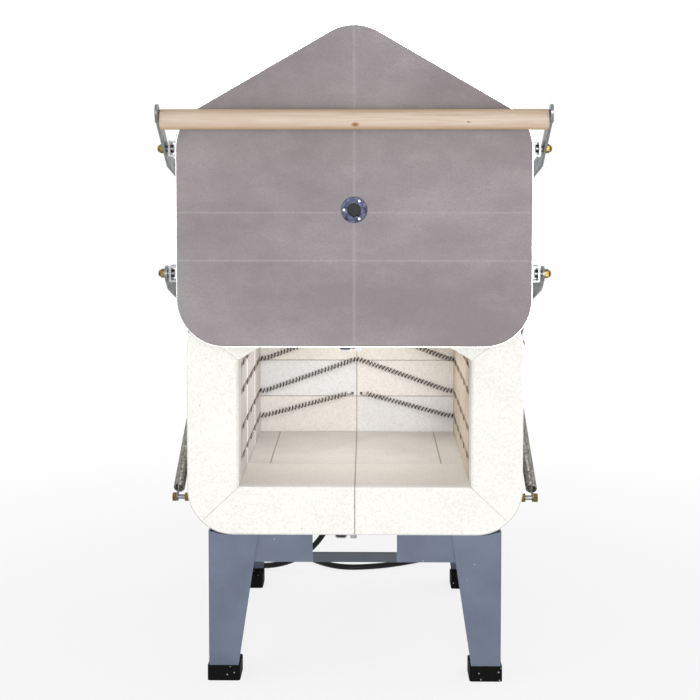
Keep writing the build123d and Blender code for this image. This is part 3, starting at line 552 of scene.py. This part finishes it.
# %% Wind the springs
spring_pitch = 2.75
for side in ("left", "right"):
    middle_x = box_centre(f"{side}_spring_near_half").x
    anchor = box_centre("spring_anchor_bolts")
    tail = box_centre(f"{side}_tail_bolt")
    anchor.x = tail.x = middle_x
    run = tail - anchor
    along = run.normalized()
    wound_length = run.length - 2 * hook_length * mm
    coil = winding(f"{side}_coil", spring_radius, spring_wire, spring_pitch, wound_length)
    coil.data.transform(Matrix.Translation((hook_length * mm, 0, 0)))
    near_hook = hook(f"{side}_near_hook")
    far_hook = hook(f"{side}_far_hook")
    far_hook.data.transform(Matrix.Translation((run.length, 0, 0)) @ Matrix.Rotation(pi, 4, "Y"))
    spring = join_pieces(f"{side}_spring", [coil, near_hook, far_hook])
    spring.matrix_world = Matrix.Translation(anchor) @ along.to_track_quat("X", "Z").to_matrix().to_4x4()
    pick(spring)
    bpy.ops.object.transform_apply(location=True, rotation=True)
    spring.data.materials.clear()
    spring.data.materials.append(spring_steel)
    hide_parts(f"{side}_spring_near_half", f"{side}_spring_far_half")
    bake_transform(spring)
    print(side, "spring", round(run.length, 4), "m, triangles", 2 * len(spring.data.polygons))

# %% [markdown]
# ## Insulating firebrick
#
# The bricks are sawn from a light, foamed refractory: cream white and quite matte, with pinholes under a
# millimetre wide and a few larger ones. Every brick fires to a slightly different tone, and glaze
# fumes tint the chamber more than the mouth. Thin smears of cement mark the joints. One recipe makes
# them all: it takes the wall's own tones as a small function, so that each wall can place its tints, and
# the joints as planes through the wall.

# %% Firebrick
def firebrick(name, tones, joints=(), joint_tone="#9b9188", joint_mm=0.9, joint_share=0.75):
    """Sawn firebrick. tones(tree, axes) gives its colour; joints are (axis, place in metres) pairs."""
    finish, tree, shader, place = new_finish(name, roughness=0.93)
    shader.inputs["Specular IOR Level"].default_value = 0.2
    grain = add_node(tree, "ShaderNodeTexNoise", {"Vector": place, "Scale": per_metre(4), "Detail": 4})
    cloud = add_node(tree, "ShaderNodeTexNoise", {"Vector": place, "Scale": per_metre(70), "Detail": 4})
    wander = add_node(
        tree, "ShaderNodeVectorMath",
        {0: grain.outputs["Color"], 1: (2 * mm, 2 * mm, 2 * mm), 2: place}, operation="MULTIPLY_ADD",
    )
    axes = add_node(tree, "ShaderNodeSeparateXYZ", {0: place})
    ragged = add_node(tree, "ShaderNodeSeparateXYZ", {0: wander.outputs[0]})
    shade = add_node(tree, "ShaderNodeMapRange", {0: cloud.outputs["Fac"], 1: 0.35, 2: 0.75, 3: 0.0, 4: 0.09})
    colour = add_node(
        tree, "ShaderNodeMix",
        {0: shade.outputs[0], 6: tones(tree, axes), 7: from_hex("#a09890")}, data_type="RGBA",
    )
    sand = add_node(tree, "ShaderNodeMapRange", {0: grain.outputs["Fac"], 1: 0.42, 2: 0.68, 3: 0.0, 4: 0.16})
    colour = add_node(
        tree, "ShaderNodeMix",
        {0: sand.outputs[0], 6: colour.outputs[2], 7: from_hex("#9a9087")}, data_type="RGBA",
    )
    for axis, spot in joints:
        line = add_node(
            tree, "ShaderNodeMath",
            {0: ragged.outputs[axis], 1: spot + mm, 2: joint_mm * mm}, operation="COMPARE",
        )
        share = add_node(
            tree, "ShaderNodeMath", {0: line.outputs[0], 1: joint_share}, operation="MULTIPLY",
        )
        colour = add_node(
            tree, "ShaderNodeMix",
            {0: share.outputs[0], 6: colour.outputs[2], 7: from_hex(joint_tone)}, data_type="RGBA",
        )
    # The pinholes and larger pits are painted dark: painted shade inside the holes.
    pores = add_node(tree, "ShaderNodeTexVoronoi", {"Vector": place, "Scale": per_metre(5)})
    pore = add_node(
        tree, "ShaderNodeMapRange", {0: pores.outputs["Distance"], 1: 0.08, 2: 0.2, 3: 0.12, 4: 0.0},
    )
    pits = add_node(tree, "ShaderNodeTexVoronoi", {"Vector": place, "Scale": per_metre(28)})
    pit = add_node(
        tree, "ShaderNodeMapRange", {0: pits.outputs["Distance"], 1: 0.02, 2: 0.04, 3: 0.7, 4: 0.0},
    )
    holes = add_node(tree, "ShaderNodeMath", {0: pore.outputs[0], 1: pit.outputs[0]}, operation="MAXIMUM")
    colour = add_node(
        tree, "ShaderNodeMix",
        {0: holes.outputs[0], 6: colour.outputs[2], 7: from_hex("#6f655a")}, data_type="RGBA",
    )
    tree.links.new(colour.outputs[2], shader.inputs["Base Color"])
    height = add_node(
        tree, "ShaderNodeMath", {0: grain.outputs["Fac"], 1: holes.outputs[0]}, operation="SUBTRACT",
    )
    bump = add_node(
        tree, "ShaderNodeBump", {"Height": height.outputs[0], "Distance": 0.5 * mm, "Strength": 0.6},
    )
    tree.links.new(bump.outputs["Normal"], shader.inputs["Normal"])
    return finish


# %% [markdown]
# ### The mouth
#
# The slabs round the mouth are the whitest: nothing has fired on their front face. Behind the front
# plane they darken to the chamber's tone, and the top of the slab that makes the front of the floor is
# a darker beige.

# %% Mouth bricks
def mouth_tones(tree, axes):
    """White in front, pale grey behind the front plane, beige on the floor."""
    inside = add_node(
        tree, "ShaderNodeMapRange", {0: axes.outputs["Y"], 1: at_depth(1), 2: at_depth(9)},
    )
    walls = add_node(
        tree, "ShaderNodeMix",
        {0: inside.outputs[0], 6: from_hex("#fbfaf5"), 7: from_hex("#ece9e4")}, data_type="RGBA",
    )
    floor_top = add_node(
        tree, "ShaderNodeMapRange", {0: axes.outputs["Z"], 1: over_floor(0.5), 2: over_floor(3), 3: 1, 4: 0},
    )
    further_in = add_node(
        tree, "ShaderNodeMapRange", {0: axes.outputs["Y"], 1: at_depth(5), 2: at_depth(22)},
    )
    low_inside = add_node(
        tree, "ShaderNodeMath", {0: floor_top.outputs[0], 1: further_in.outputs[0]}, operation="MULTIPLY",
    )
    return add_node(
        tree, "ShaderNodeMix",
        {0: low_inside.outputs[0], 6: walls.outputs[2], 7: from_hex("#dcd8d1")}, data_type="RGBA",
    ).outputs[2]


paint(["front_frame_bricks"], firebrick("firebrick_mouth", mouth_tones, [("X", 0)], joint_tone="#8a847d"))

# %% [markdown]
# ### The back wall
#
# The back wall is laid from wide slabs in courses of 74 mm, split in the middle. The photograph shows
# them in turns bluish and warm, like a chequer board, and the course at the top is cream. The count of
# courses and halves, odd or even, picks the tone.

# %% Back wall bricks
back_course = 74


def back_tones(tree, axes):
    """Bluish and warm bricks in turn, and cream ones from the third course."""
    course = add_node(
        tree, "ShaderNodeMapRange",
        {0: axes.outputs["Z"], 1: over_floor(0), 2: over_floor(back_course)}, clamp=False,
    )
    row = add_node(tree, "ShaderNodeMath", {0: course.outputs[0]}, operation="FLOOR")
    column = add_node(tree, "ShaderNodeMath", {0: axes.outputs["X"], 1: 0.0}, operation="GREATER_THAN")
    count = add_node(tree, "ShaderNodeMath", {0: row.outputs[0], 1: column.outputs[0]}, operation="ADD")
    odd = add_node(tree, "ShaderNodeMath", {0: count.outputs[0], 1: 2.0}, operation="FLOORED_MODULO")
    tone = add_node(
        tree, "ShaderNodeMix",
        {0: odd.outputs[0], 6: from_hex("#e6e2dd"), 7: from_hex("#e2e2e3")}, data_type="RGBA",
    )
    high = add_node(tree, "ShaderNodeMath", {0: row.outputs[0], 1: 1.5}, operation="GREATER_THAN")
    return add_node(
        tree, "ShaderNodeMix",
        {0: high.outputs[0], 6: tone.outputs[2], 7: from_hex("#e5e0d8")}, data_type="RGBA",
    ).outputs[2]


back_joints = [("X", 0)] + [("Z", over_floor(back_course * course)) for course in (1, 2, 3)]
paint(["back_wall_bricks"], firebrick("firebrick_back_wall", back_tones, back_joints))

# %% [markdown]
# ### Walls, floor, roof and door
#
# The other faces drift between two tones. The right wall has the strongest tint, a beige from years of
# fumes, while the left wall is a cool white. Both show broad pale smears of cement at their upright
# joints. The floor is the darkest.

# %% Other bricks
def two_tones(first, second, patch_mm=110):
    """Tones that drift between two colours in patches."""
    def tones(tree, axes):
        spread = add_node(
            tree, "ShaderNodeCombineXYZ",
            {0: axes.outputs["X"], 1: axes.outputs["Y"], 2: axes.outputs["Z"]},
        )
        drift = add_node(
            tree, "ShaderNodeTexNoise",
            {"Vector": spread.outputs[0], "Scale": per_metre(patch_mm), "Detail": 3},
        )
        share = add_node(tree, "ShaderNodeMapRange", {0: drift.outputs["Fac"], 1: 0.38, 2: 0.62})
        return add_node(
            tree, "ShaderNodeMix",
            {0: share.outputs[0], 6: from_hex(first), 7: from_hex(second)}, data_type="RGBA",
        ).outputs[2]
    return tones


side_joints = [("Y", at_depth(168)), ("Y", at_depth(328))]
floor_slab_edge = 0.157
floor_joints = [("X", 0), ("X", -floor_slab_edge), ("X", floor_slab_edge)]
roof_joints = [("Y", at_depth(255))]
paint(["left_wall_bricks"], firebrick(
    "firebrick_left_wall", two_tones("#dcd9d7", "#d2cfcd"), side_joints, "#fffefb", 11, 0.9))
paint(["right_wall_bricks"], firebrick(
    "firebrick_right_wall", two_tones("#dbcebe", "#cdbea9"), side_joints, "#ddd2c0", 7, 0.7))
paint(["floor_bricks"], firebrick(
    "firebrick_floor", two_tones("#dad7d2", "#d2cec9"), floor_joints, "#a39a90", 1.3))
paint(["roof_bricks"], firebrick("firebrick_roof", two_tones("#d6d2cb", "#ccc7bf"), roof_joints))
paint(["door_bricks"], firebrick("firebrick_door", two_tones("#f1ece1", "#e5dece"), [("X", 0)]))

# %% [markdown]
# ## Door coating
#
# The door's face is brushed with a grey refractory wash that sets as a thin, sandy skin. It is mottled
# over a hand's width and speckled like fine mortar, and it dried a little paler over the joints between
# the bricks behind it.

# %% Refractory coating
door_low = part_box("door_coating")[0].z
joint_glow = (("X", 0, 4), ("Z", door_low + 0.138, 3), ("Z", door_low + 0.215, 3))
coating, tree, shader, place = new_finish("brushed_refractory_wash", roughness=0.95)
shader.inputs["Specular IOR Level"].default_value = 0.25
axes = add_node(tree, "ShaderNodeSeparateXYZ", {0: place})
brushed = add_node(tree, "ShaderNodeMapping", {"Vector": place, "Scale": (0.6, 1, 1)})
cloud = add_node(
    tree, "ShaderNodeTexNoise",
    {"Vector": brushed.outputs["Vector"], "Scale": per_metre(130), "Detail": 6, "Roughness": 0.62},
)
sand = add_node(tree, "ShaderNodeTexNoise", {"Vector": place, "Scale": per_metre(2.2), "Detail": 2})
share = add_node(tree, "ShaderNodeMapRange", {0: cloud.outputs["Fac"], 1: 0.38, 2: 0.64})
colour = add_node(
    tree, "ShaderNodeMix",
    {0: share.outputs[0], 6: from_hex("#8f888a"), 7: from_hex("#a49d9f")}, data_type="RGBA",
)
for axis, spot, half_mm in joint_glow:
    offset = add_node(tree, "ShaderNodeMath", {0: axes.outputs[axis], 1: spot}, operation="SUBTRACT")
    distance = add_node(tree, "ShaderNodeMath", {0: offset.outputs[0]}, operation="ABSOLUTE")
    fade = add_node(
        tree, "ShaderNodeMapRange", {0: distance.outputs[0], 1: 0.5 * mm, 2: half_mm * mm, 3: 0.4, 4: 0.0},
    )
    colour = add_node(
        tree, "ShaderNodeMix",
        {0: fade.outputs[0], 6: colour.outputs[2], 7: from_hex("#b3adb0")}, data_type="RGBA",
    )
speckle = add_node(tree, "ShaderNodeMapRange", {0: sand.outputs["Fac"], 1: 0.35, 2: 0.7, 3: 0.0, 4: 0.3})
colour = add_node(
    tree, "ShaderNodeMix",
    {0: speckle.outputs[0], 6: colour.outputs[2], 7: from_hex("#7a7375")}, data_type="RGBA",
)
tree.links.new(colour.outputs[2], shader.inputs["Base Color"])
bump = add_node(
    tree, "ShaderNodeBump", {"Height": sand.outputs["Fac"], "Distance": 0.4 * mm, "Strength": 0.6},
)
tree.links.new(bump.outputs["Normal"], shader.inputs["Normal"])
paint(["door_coating"], coating)

# %% [markdown]
# ## Sheet and plated metals
#
# The jacket and the door's band are cold-rolled stainless strip: bright, with a fine grain that runs along
# the strip, round the body. The back's sheet has its grain across the kiln. The grain is a tenth of a
# millimetre in truth, and is drawn 5 mm wide so that it shows. Arms, brackets and bolts are zinc plated, a
# dull grey with a slightly milky gloss. The acorn nuts are turned brass, in a dark and dull tone.
# The peephole's tube is stainless too, but heat has blued it dark.

# %% Metals
stainless = metal_patches("rolled_stainless_band", "#dddcd9", "#d0d0ce", 5, 0.28, 0.01, (0.05, 1, 0.05))
flat_stainless = metal_patches("rolled_stainless_panel", "#d9d8d6", "#cbcbca", 5, 0.3, 0.01, (0.05, 1, 1))
zinc = metal_patches("zinc_plated_steel", "#97999a", "#76787a", 12, 0.36, 0.03)
brass = metal_patches("turned_brass", "#87743f", "#54451f", 4, 0.3, 0.02)
blued = metal_patches("heat_blued_stainless", "#494d60", "#23252e", 8, 0.45, 0.05)
paint(["body_jacket", "door_band"], stainless)
paint(["back_panel", "terminal_box_cover"], flat_stainless)
paint(["peephole_tube"], blued)
paint([
    "body_band_clamps", "body_pivot_studs", "door_band_clamp", "door_brackets", "door_pivot_bolts",
    "left_lower_arm", "right_lower_arm", "left_upper_arm", "right_upper_arm", "left_pivot_bar",
    "right_pivot_bar", "left_tail_bolt", "right_tail_bolt", "handle_screws", "peephole_screws",
    "pivot_bar_bolts", "rear_screws", "spring_anchor_bolts", "stand_screws", "terminal_screws",
], zinc)
paint(["body_pivot_nuts", "door_pivot_nuts", "spring_anchor_nuts", "plug_blades"], brass)

# %% [markdown]
# ## Sight glass
#
# The peephole shows dark, with a bluish glint, and a disc of near-black glass sits in its tube. It starts
# as a flat circle, is extruded to its thickness, and its rim is bevelled.

# %% Sight glass
glass_radius = 10.9
glass_thickness = 4
glass_recess = 16
tube_low, tube_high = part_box("peephole_tube")
glass_middle = (0, tube_low.y + glass_recess * mm, (tube_low.z + tube_high.z) / 2)
bpy.ops.mesh.primitive_circle_add(
    vertices=48, radius=glass_radius * mm, fill_type="NGON", location=glass_middle, rotation=(pi / 2, 0, 0),
)
sight_glass = bpy.context.object
sight_glass.name = "sight_glass"
bpy.ops.object.transform_apply(location=True, rotation=True)
bpy.ops.object.mode_set(mode="EDIT")
bpy.ops.mesh.select_all(action="SELECT")
bpy.ops.mesh.extrude_region_move(TRANSFORM_OT_translate={"value": (0, glass_thickness * mm, 0)})
bpy.ops.mesh.select_all(action="SELECT")
bpy.ops.mesh.normals_make_consistent(inside=False)
bpy.ops.object.mode_set(mode="OBJECT")
rim = sight_glass.modifiers.new("ground_rim", "BEVEL")
rim.width = 0.6 * mm
rim.segments = 3
bpy.ops.object.modifier_apply(modifier=rim.name)
kiln_glass, tree, shader, place = new_finish("dark_kiln_glass", roughness=0.06)
shader.inputs["IOR"].default_value = 1.52
shader.inputs["Specular IOR Level"].default_value = 0.05
smoke = add_node(tree, "ShaderNodeTexNoise", {"Vector": place, "Scale": per_metre(9), "Detail": 2})
tint = add_node(
    tree, "ShaderNodeMix",
    {0: smoke.outputs["Fac"], 6: from_hex("#0b0f12"), 7: from_hex("#1c2830")}, data_type="RGBA",
)
tree.links.new(tint.outputs[2], shader.inputs["Base Color"])
sight_glass.data.materials.append(kiln_glass)
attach(sight_glass, "door")
print("glass", len(sight_glass.data.polygons), "faces")

# %% [markdown]
# ## Stand: stoved paint
#
# The stand is bent steel sheet with a blue-grey stoving enamel, sprayed thin. Sprayed paint levels to a
# soft orange peel a few millimetres wide. A few pale chips and dust specks lie on it. The lip that is left
# under the rails' notches is painted darker, darkest along its top, as painted shade.

# %% Stand paint
def specks(tree, place, spacing_mm, size):
    """A share that is 1 on sparse small spots and 0 elsewhere."""
    cells = add_node(tree, "ShaderNodeTexVoronoi", {"Vector": place, "Scale": per_metre(spacing_mm)})
    return add_node(
        tree, "ShaderNodeMath", {0: cells.outputs["Distance"], 1: size}, operation="LESS_THAN",
    ).outputs[0]


notch_half_width = 0.0715
notch_depth = 0.031
strip_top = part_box("front_rail")[1].z - notch_depth
stand_paint, tree, shader, place = new_finish("stoved_enamel_paint", roughness=0.45)
peel = add_node(tree, "ShaderNodeTexNoise", {"Vector": place, "Scale": per_metre(2.5), "Detail": 2})
cloud = add_node(tree, "ShaderNodeTexNoise", {"Vector": place, "Scale": per_metre(60), "Detail": 5})
share = add_node(tree, "ShaderNodeMapRange", {0: cloud.outputs["Fac"], 1: 0.35, 2: 0.65})
colour = add_node(
    tree, "ShaderNodeMix",
    {0: share.outputs[0], 6: from_hex("#5c6679"), 7: from_hex("#677285")}, data_type="RGBA",
)
colour = add_node(
    tree, "ShaderNodeMix",
    {0: specks(tree, place, 26, 0.035), 6: colour.outputs[2], 7: from_hex("#c9ccd2")}, data_type="RGBA",
)
axes = add_node(tree, "ShaderNodeSeparateXYZ", {0: place})
across = add_node(tree, "ShaderNodeMath", {0: axes.outputs["X"]}, operation="ABSOLUTE")
# Painted shade: the lip under the notches is painted dark, darkest along its top, where it lies in shade.
in_notch = add_node(
    tree, "ShaderNodeMath", {0: across.outputs[0], 1: notch_half_width}, operation="LESS_THAN",
)
shaded = add_node(
    tree, "ShaderNodeMapRange", {0: axes.outputs["Z"], 1: strip_top - 3 * mm, 2: strip_top, 3: 0.75, 4: 0.95},
)
strip = add_node(tree, "ShaderNodeMath", {0: in_notch.outputs[0], 1: shaded.outputs[0]}, operation="MULTIPLY")
under_top = add_node(
    tree, "ShaderNodeMath", {0: axes.outputs["Z"], 1: strip_top + 0.5 * mm}, operation="LESS_THAN",
)
strip = add_node(tree, "ShaderNodeMath", {0: strip.outputs[0], 1: under_top.outputs[0]}, operation="MULTIPLY")
colour = add_node(
    tree, "ShaderNodeMix",
    {0: strip.outputs[0], 6: colour.outputs[2], 7: from_hex("#2c2e33")}, data_type="RGBA",
)
tree.links.new(colour.outputs[2], shader.inputs["Base Color"])
bump = add_node(
    tree, "ShaderNodeBump", {"Height": peel.outputs["Fac"], "Distance": 0.15 * mm, "Strength": 0.35},
)
tree.links.new(bump.outputs["Normal"], shader.inputs["Normal"])
corners = ("front_left", "front_right", "rear_left", "rear_right")
paint([f"{corner}_leg" for corner in corners], stand_paint)
paint(["front_rail", "rear_rail", "left_rail", "right_rail"], stand_paint)

# %% [markdown]
# ## Feet: moulded rubber
#
# The feet are black moulded rubber boots. Brick dust clings to rubber, and the photograph shows it as
# pale specks.

# %% Foot rubber
foot_rubber, tree, shader, place = new_finish("moulded_foot_rubber", roughness=0.7)
shader.inputs["Specular IOR Level"].default_value = 0.08
mould = add_node(tree, "ShaderNodeTexNoise", {"Vector": place, "Scale": per_metre(3), "Detail": 4})
colour = add_node(
    tree, "ShaderNodeMix",
    {0: mould.outputs["Fac"], 6: from_hex("#050404"), 7: from_hex("#121111")}, data_type="RGBA",
)
dust = add_node(
    tree, "ShaderNodeMath",
    {0: specks(tree, place, 11, 0.13), 1: mould.outputs["Fac"]}, operation="MULTIPLY",
)
colour = add_node(
    tree, "ShaderNodeMix",
    {0: dust.outputs[0], 6: colour.outputs[2], 7: from_hex("#d9d6cf")}, data_type="RGBA",
)
tree.links.new(colour.outputs[2], shader.inputs["Base Color"])
bump = add_node(
    tree, "ShaderNodeBump", {"Height": mould.outputs["Fac"], "Distance": 0.2 * mm, "Strength": 0.5},
)
tree.links.new(bump.outputs["Normal"], shader.inputs["Normal"])
paint([f"{corner}_foot" for corner in corners], foot_rubber)

# %% [markdown]
# ## Handle: planed pine, lightly oiled
#
# The handle is a turned pine bar. Its grain runs along the bar in fine darker lines, its pores show as
# short dashes, and two small knots are ochre brown. Its upper and lower edges are
# painted a darker yellow.

# %% Handle wood
handle_centre = box_centre("handle_bar")
wood, tree, shader, place = new_finish("turned_pine", roughness=0.5)
shader.inputs["Specular IOR Level"].default_value = 0.3
centred = add_node(tree, "ShaderNodeMapping", {"Vector": place, "Location": tuple(-handle_centre)})
knot_mark = None
knots = ((0.002, -0.0085, 6), (0.178, -0.0045, 2.6))
for knot_x, knot_z, size_mm in knots:
    from_knot = add_node(
        tree, "ShaderNodeVectorMath",
        {0: centred.outputs["Vector"], 1: (knot_x, -0.014, knot_z)}, operation="SUBTRACT",
    )
    flattened = add_node(tree, "ShaderNodeMapping", {"Vector": from_knot.outputs[0], "Scale": (0.55, 0.4, 1)})
    reach = add_node(tree, "ShaderNodeVectorMath", {0: flattened.outputs["Vector"]}, operation="LENGTH")
    mark = add_node(
        tree, "ShaderNodeMapRange",
        {0: reach.outputs["Value"], 1: size_mm * 0.25 * mm, 2: size_mm * 0.75 * mm, 3: 1.0, 4: 0.0},
    )
    if knot_mark is None:
        knot_mark = mark.outputs[0]
    else:
        knot_mark = add_node(
            tree, "ShaderNodeMath", {0: knot_mark, 1: mark.outputs[0]}, operation="MAXIMUM",
        ).outputs[0]
fibres = add_node(tree, "ShaderNodeMapping", {"Vector": centred.outputs["Vector"], "Scale": (0.035, 1, 1)})
grain = add_node(
    tree, "ShaderNodeTexNoise",
    {"Vector": fibres.outputs["Vector"], "Scale": per_metre(3.5), "Detail": 6, "Roughness": 0.6,
     "Distortion": 0.6},
)
bands = add_node(tree, "ShaderNodeMapRange", {0: grain.outputs["Fac"], 1: 0.4, 2: 0.68})
colour = add_node(
    tree, "ShaderNodeMix",
    {0: bands.outputs[0], 6: from_hex("#d2c0af"), 7: from_hex("#c2ab95")}, data_type="RGBA",
)
axes = add_node(tree, "ShaderNodeSeparateXYZ", {0: centred.outputs["Vector"]})
edge = add_node(tree, "ShaderNodeMath", {0: axes.outputs["Z"]}, operation="ABSOLUTE")
# The upper and lower edges are painted a darker yellow.
edge_tone = add_node(tree, "ShaderNodeMapRange", {0: edge.outputs[0], 1: 0.009, 2: 0.0155, 3: 0.0, 4: 0.75})
colour = add_node(
    tree, "ShaderNodeMix",
    {0: edge_tone.outputs[0], 6: colour.outputs[2], 7: from_hex("#c39e74")}, data_type="RGBA",
)
colour = add_node(
    tree, "ShaderNodeMix",
    {0: knot_mark, 6: colour.outputs[2], 7: from_hex("#99692f")}, data_type="RGBA",
)
tree.links.new(colour.outputs[2], shader.inputs["Base Color"])
bump = add_node(
    tree, "ShaderNodeBump", {"Height": grain.outputs["Fac"], "Distance": 0.12 * mm, "Strength": 0.4},
)
tree.links.new(bump.outputs["Normal"], shader.inputs["Normal"])
paint(["handle_bar"], wood)

# %% [markdown]
# ## Moulded and glazed small parts
#
# The cord's gland is moulded nylon and the plug a rubber moulding, both black. The terminal blocks in
# the wiring box are glazed porcelain, which is white with a hard gloss.

# %% Nylon, plug rubber and porcelain
def smooth_skin(name, tone, shade, roughness, patch_mm, bump_mm):
    """A moulded or glazed skin that drifts between two tones."""
    finish, tree, shader, place = new_finish(name, roughness)
    drift = add_node(tree, "ShaderNodeTexNoise", {"Vector": place, "Scale": per_metre(patch_mm), "Detail": 4})
    mix = add_node(
        tree, "ShaderNodeMix",
        {0: drift.outputs["Fac"], 6: from_hex(tone), 7: from_hex(shade)}, data_type="RGBA",
    )
    tree.links.new(mix.outputs[2], shader.inputs["Base Color"])
    bump = add_node(
        tree, "ShaderNodeBump",
        {"Height": drift.outputs["Fac"], "Distance": bump_mm * mm, "Strength": 0.4},
    )
    tree.links.new(bump.outputs["Normal"], shader.inputs["Normal"])
    return finish


paint(["cord_gland"], smooth_skin("moulded_nylon", "#1b1b1c", "#111112", 0.35, 5, 0.05))
paint(["plug_body"], smooth_skin("moulded_plug_rubber", "#161616", "#0e0e0e", 0.5, 3, 0.1))
paint(["terminal_blocks"], smooth_skin("glazed_porcelain", "#eeeae1", "#e2ddd2", 0.12, 15, 0.03))

# %% [markdown]
# ## Floor, light and background
#
# The room is white. For what the camera sees, and for what metal mirrors, the world is a plain white;
# for the light that falls on the kiln it is dimmer, so that lamps can model it. The floor is pale and
# takes the kiln's shadow, and further off it melts into the white of the room. Three large soft lamps
# stand round the kiln. A small one under the chamber's roof stands for the light that white bricks throw
# from wall to wall, which the photograph shows to be nearly as strong as the light outside.

# %% Room
def seen_directly(tree):
    """A share that is 1 for the camera and for what metal and glass show, and 0 for soft light."""
    rays = add_node(tree, "ShaderNodeLightPath").outputs
    shown = add_node(
        tree, "ShaderNodeMath", {0: rays["Is Camera Ray"], 1: rays["Is Glossy Ray"]}, operation="MAXIMUM",
    )
    return add_node(
        tree, "ShaderNodeMath",
        {0: shown.outputs[0], 1: rays["Is Transmission Ray"]}, operation="MAXIMUM",
    ).outputs[0]


room_light = 0.5
world = bpy.data.worlds.new("white_room")
world.use_nodes = True
bpy.context.scene.world = world
room = world.node_tree
strength = add_node(room, "ShaderNodeMapRange", {0: seen_directly(room), 3: room_light, 4: 1.0})
room.nodes["Background"].inputs["Color"].default_value = (1, 1, 1, 1)
room.links.new(strength.outputs[0], room.nodes["Background"].inputs["Strength"])
print("room light", room_light)

# %% Floor
bpy.ops.mesh.primitive_plane_add(size=60, location=(0, 0, 0))
floor = bpy.context.object
floor.name = "floor"
floor_finish, tree, shader, place = new_finish("pale_floor", roughness=0.9)
shader.inputs["Base Color"].default_value = from_hex("#f8f8f8")
shader.inputs["Specular IOR Level"].default_value = 0.1
reach = add_node(tree, "ShaderNodeVectorMath", {0: place}, operation="LENGTH")
far = add_node(
    tree, "ShaderNodeMapRange",
    {0: reach.outputs["Value"], 1: 0.5, 2: 1.9, 3: 0.8, 4: 1.0}, interpolation_type="SMOOTHSTEP",
)
shown = add_node(
    tree, "ShaderNodeMath", {0: far.outputs[0], 1: seen_directly(tree)}, operation="MULTIPLY",
)
white = add_node(tree, "ShaderNodeEmission", {"Color": (1, 1, 1, 1), "Strength": 1.0})
mixed = add_node(
    tree, "ShaderNodeMixShader",
    {0: shown.outputs[0], 1: shader.outputs["BSDF"], 2: white.outputs["Emission"]},
)
tree.links.new(mixed.outputs["Shader"], tree.nodes["Material Output"].inputs["Surface"])
floor.data.materials.append(floor_finish)
print("floor", floor.dimensions.x, "m wide")


# %% Lamps
def add_lamp(name, spot, aim, size, power):
    """A square soft lamp that faces a point, and that no picture shows."""
    bpy.ops.object.light_add(type="AREA", location=spot)
    lamp = bpy.context.object
    lamp.name = name
    lamp.data.size = size
    lamp.data.energy = power
    lamp.visible_camera = False
    lamp.rotation_euler = (Vector(aim) - Vector(spot)).to_track_quat("-Z", "Y").to_euler()


add_lamp("front_lamp", (0.25, -3.4, 0.8), (0, 0, 0.5), 1.2, 48)
add_lamp("left_lamp", (-2.6, -1.2, 2.2), (0, 0, 0.5), 2.0, 14)
add_lamp("right_lamp", (2.6, 0.9, 2.2), (0, 0, 0.5), 2.0, 14)
add_lamp("chamber_lamp", (0, at_depth(230), over_floor(265)), (0, at_depth(231), over_floor(0)), 0.3, 0.85)
bpy.context.scene.view_settings.view_transform = "Standard"
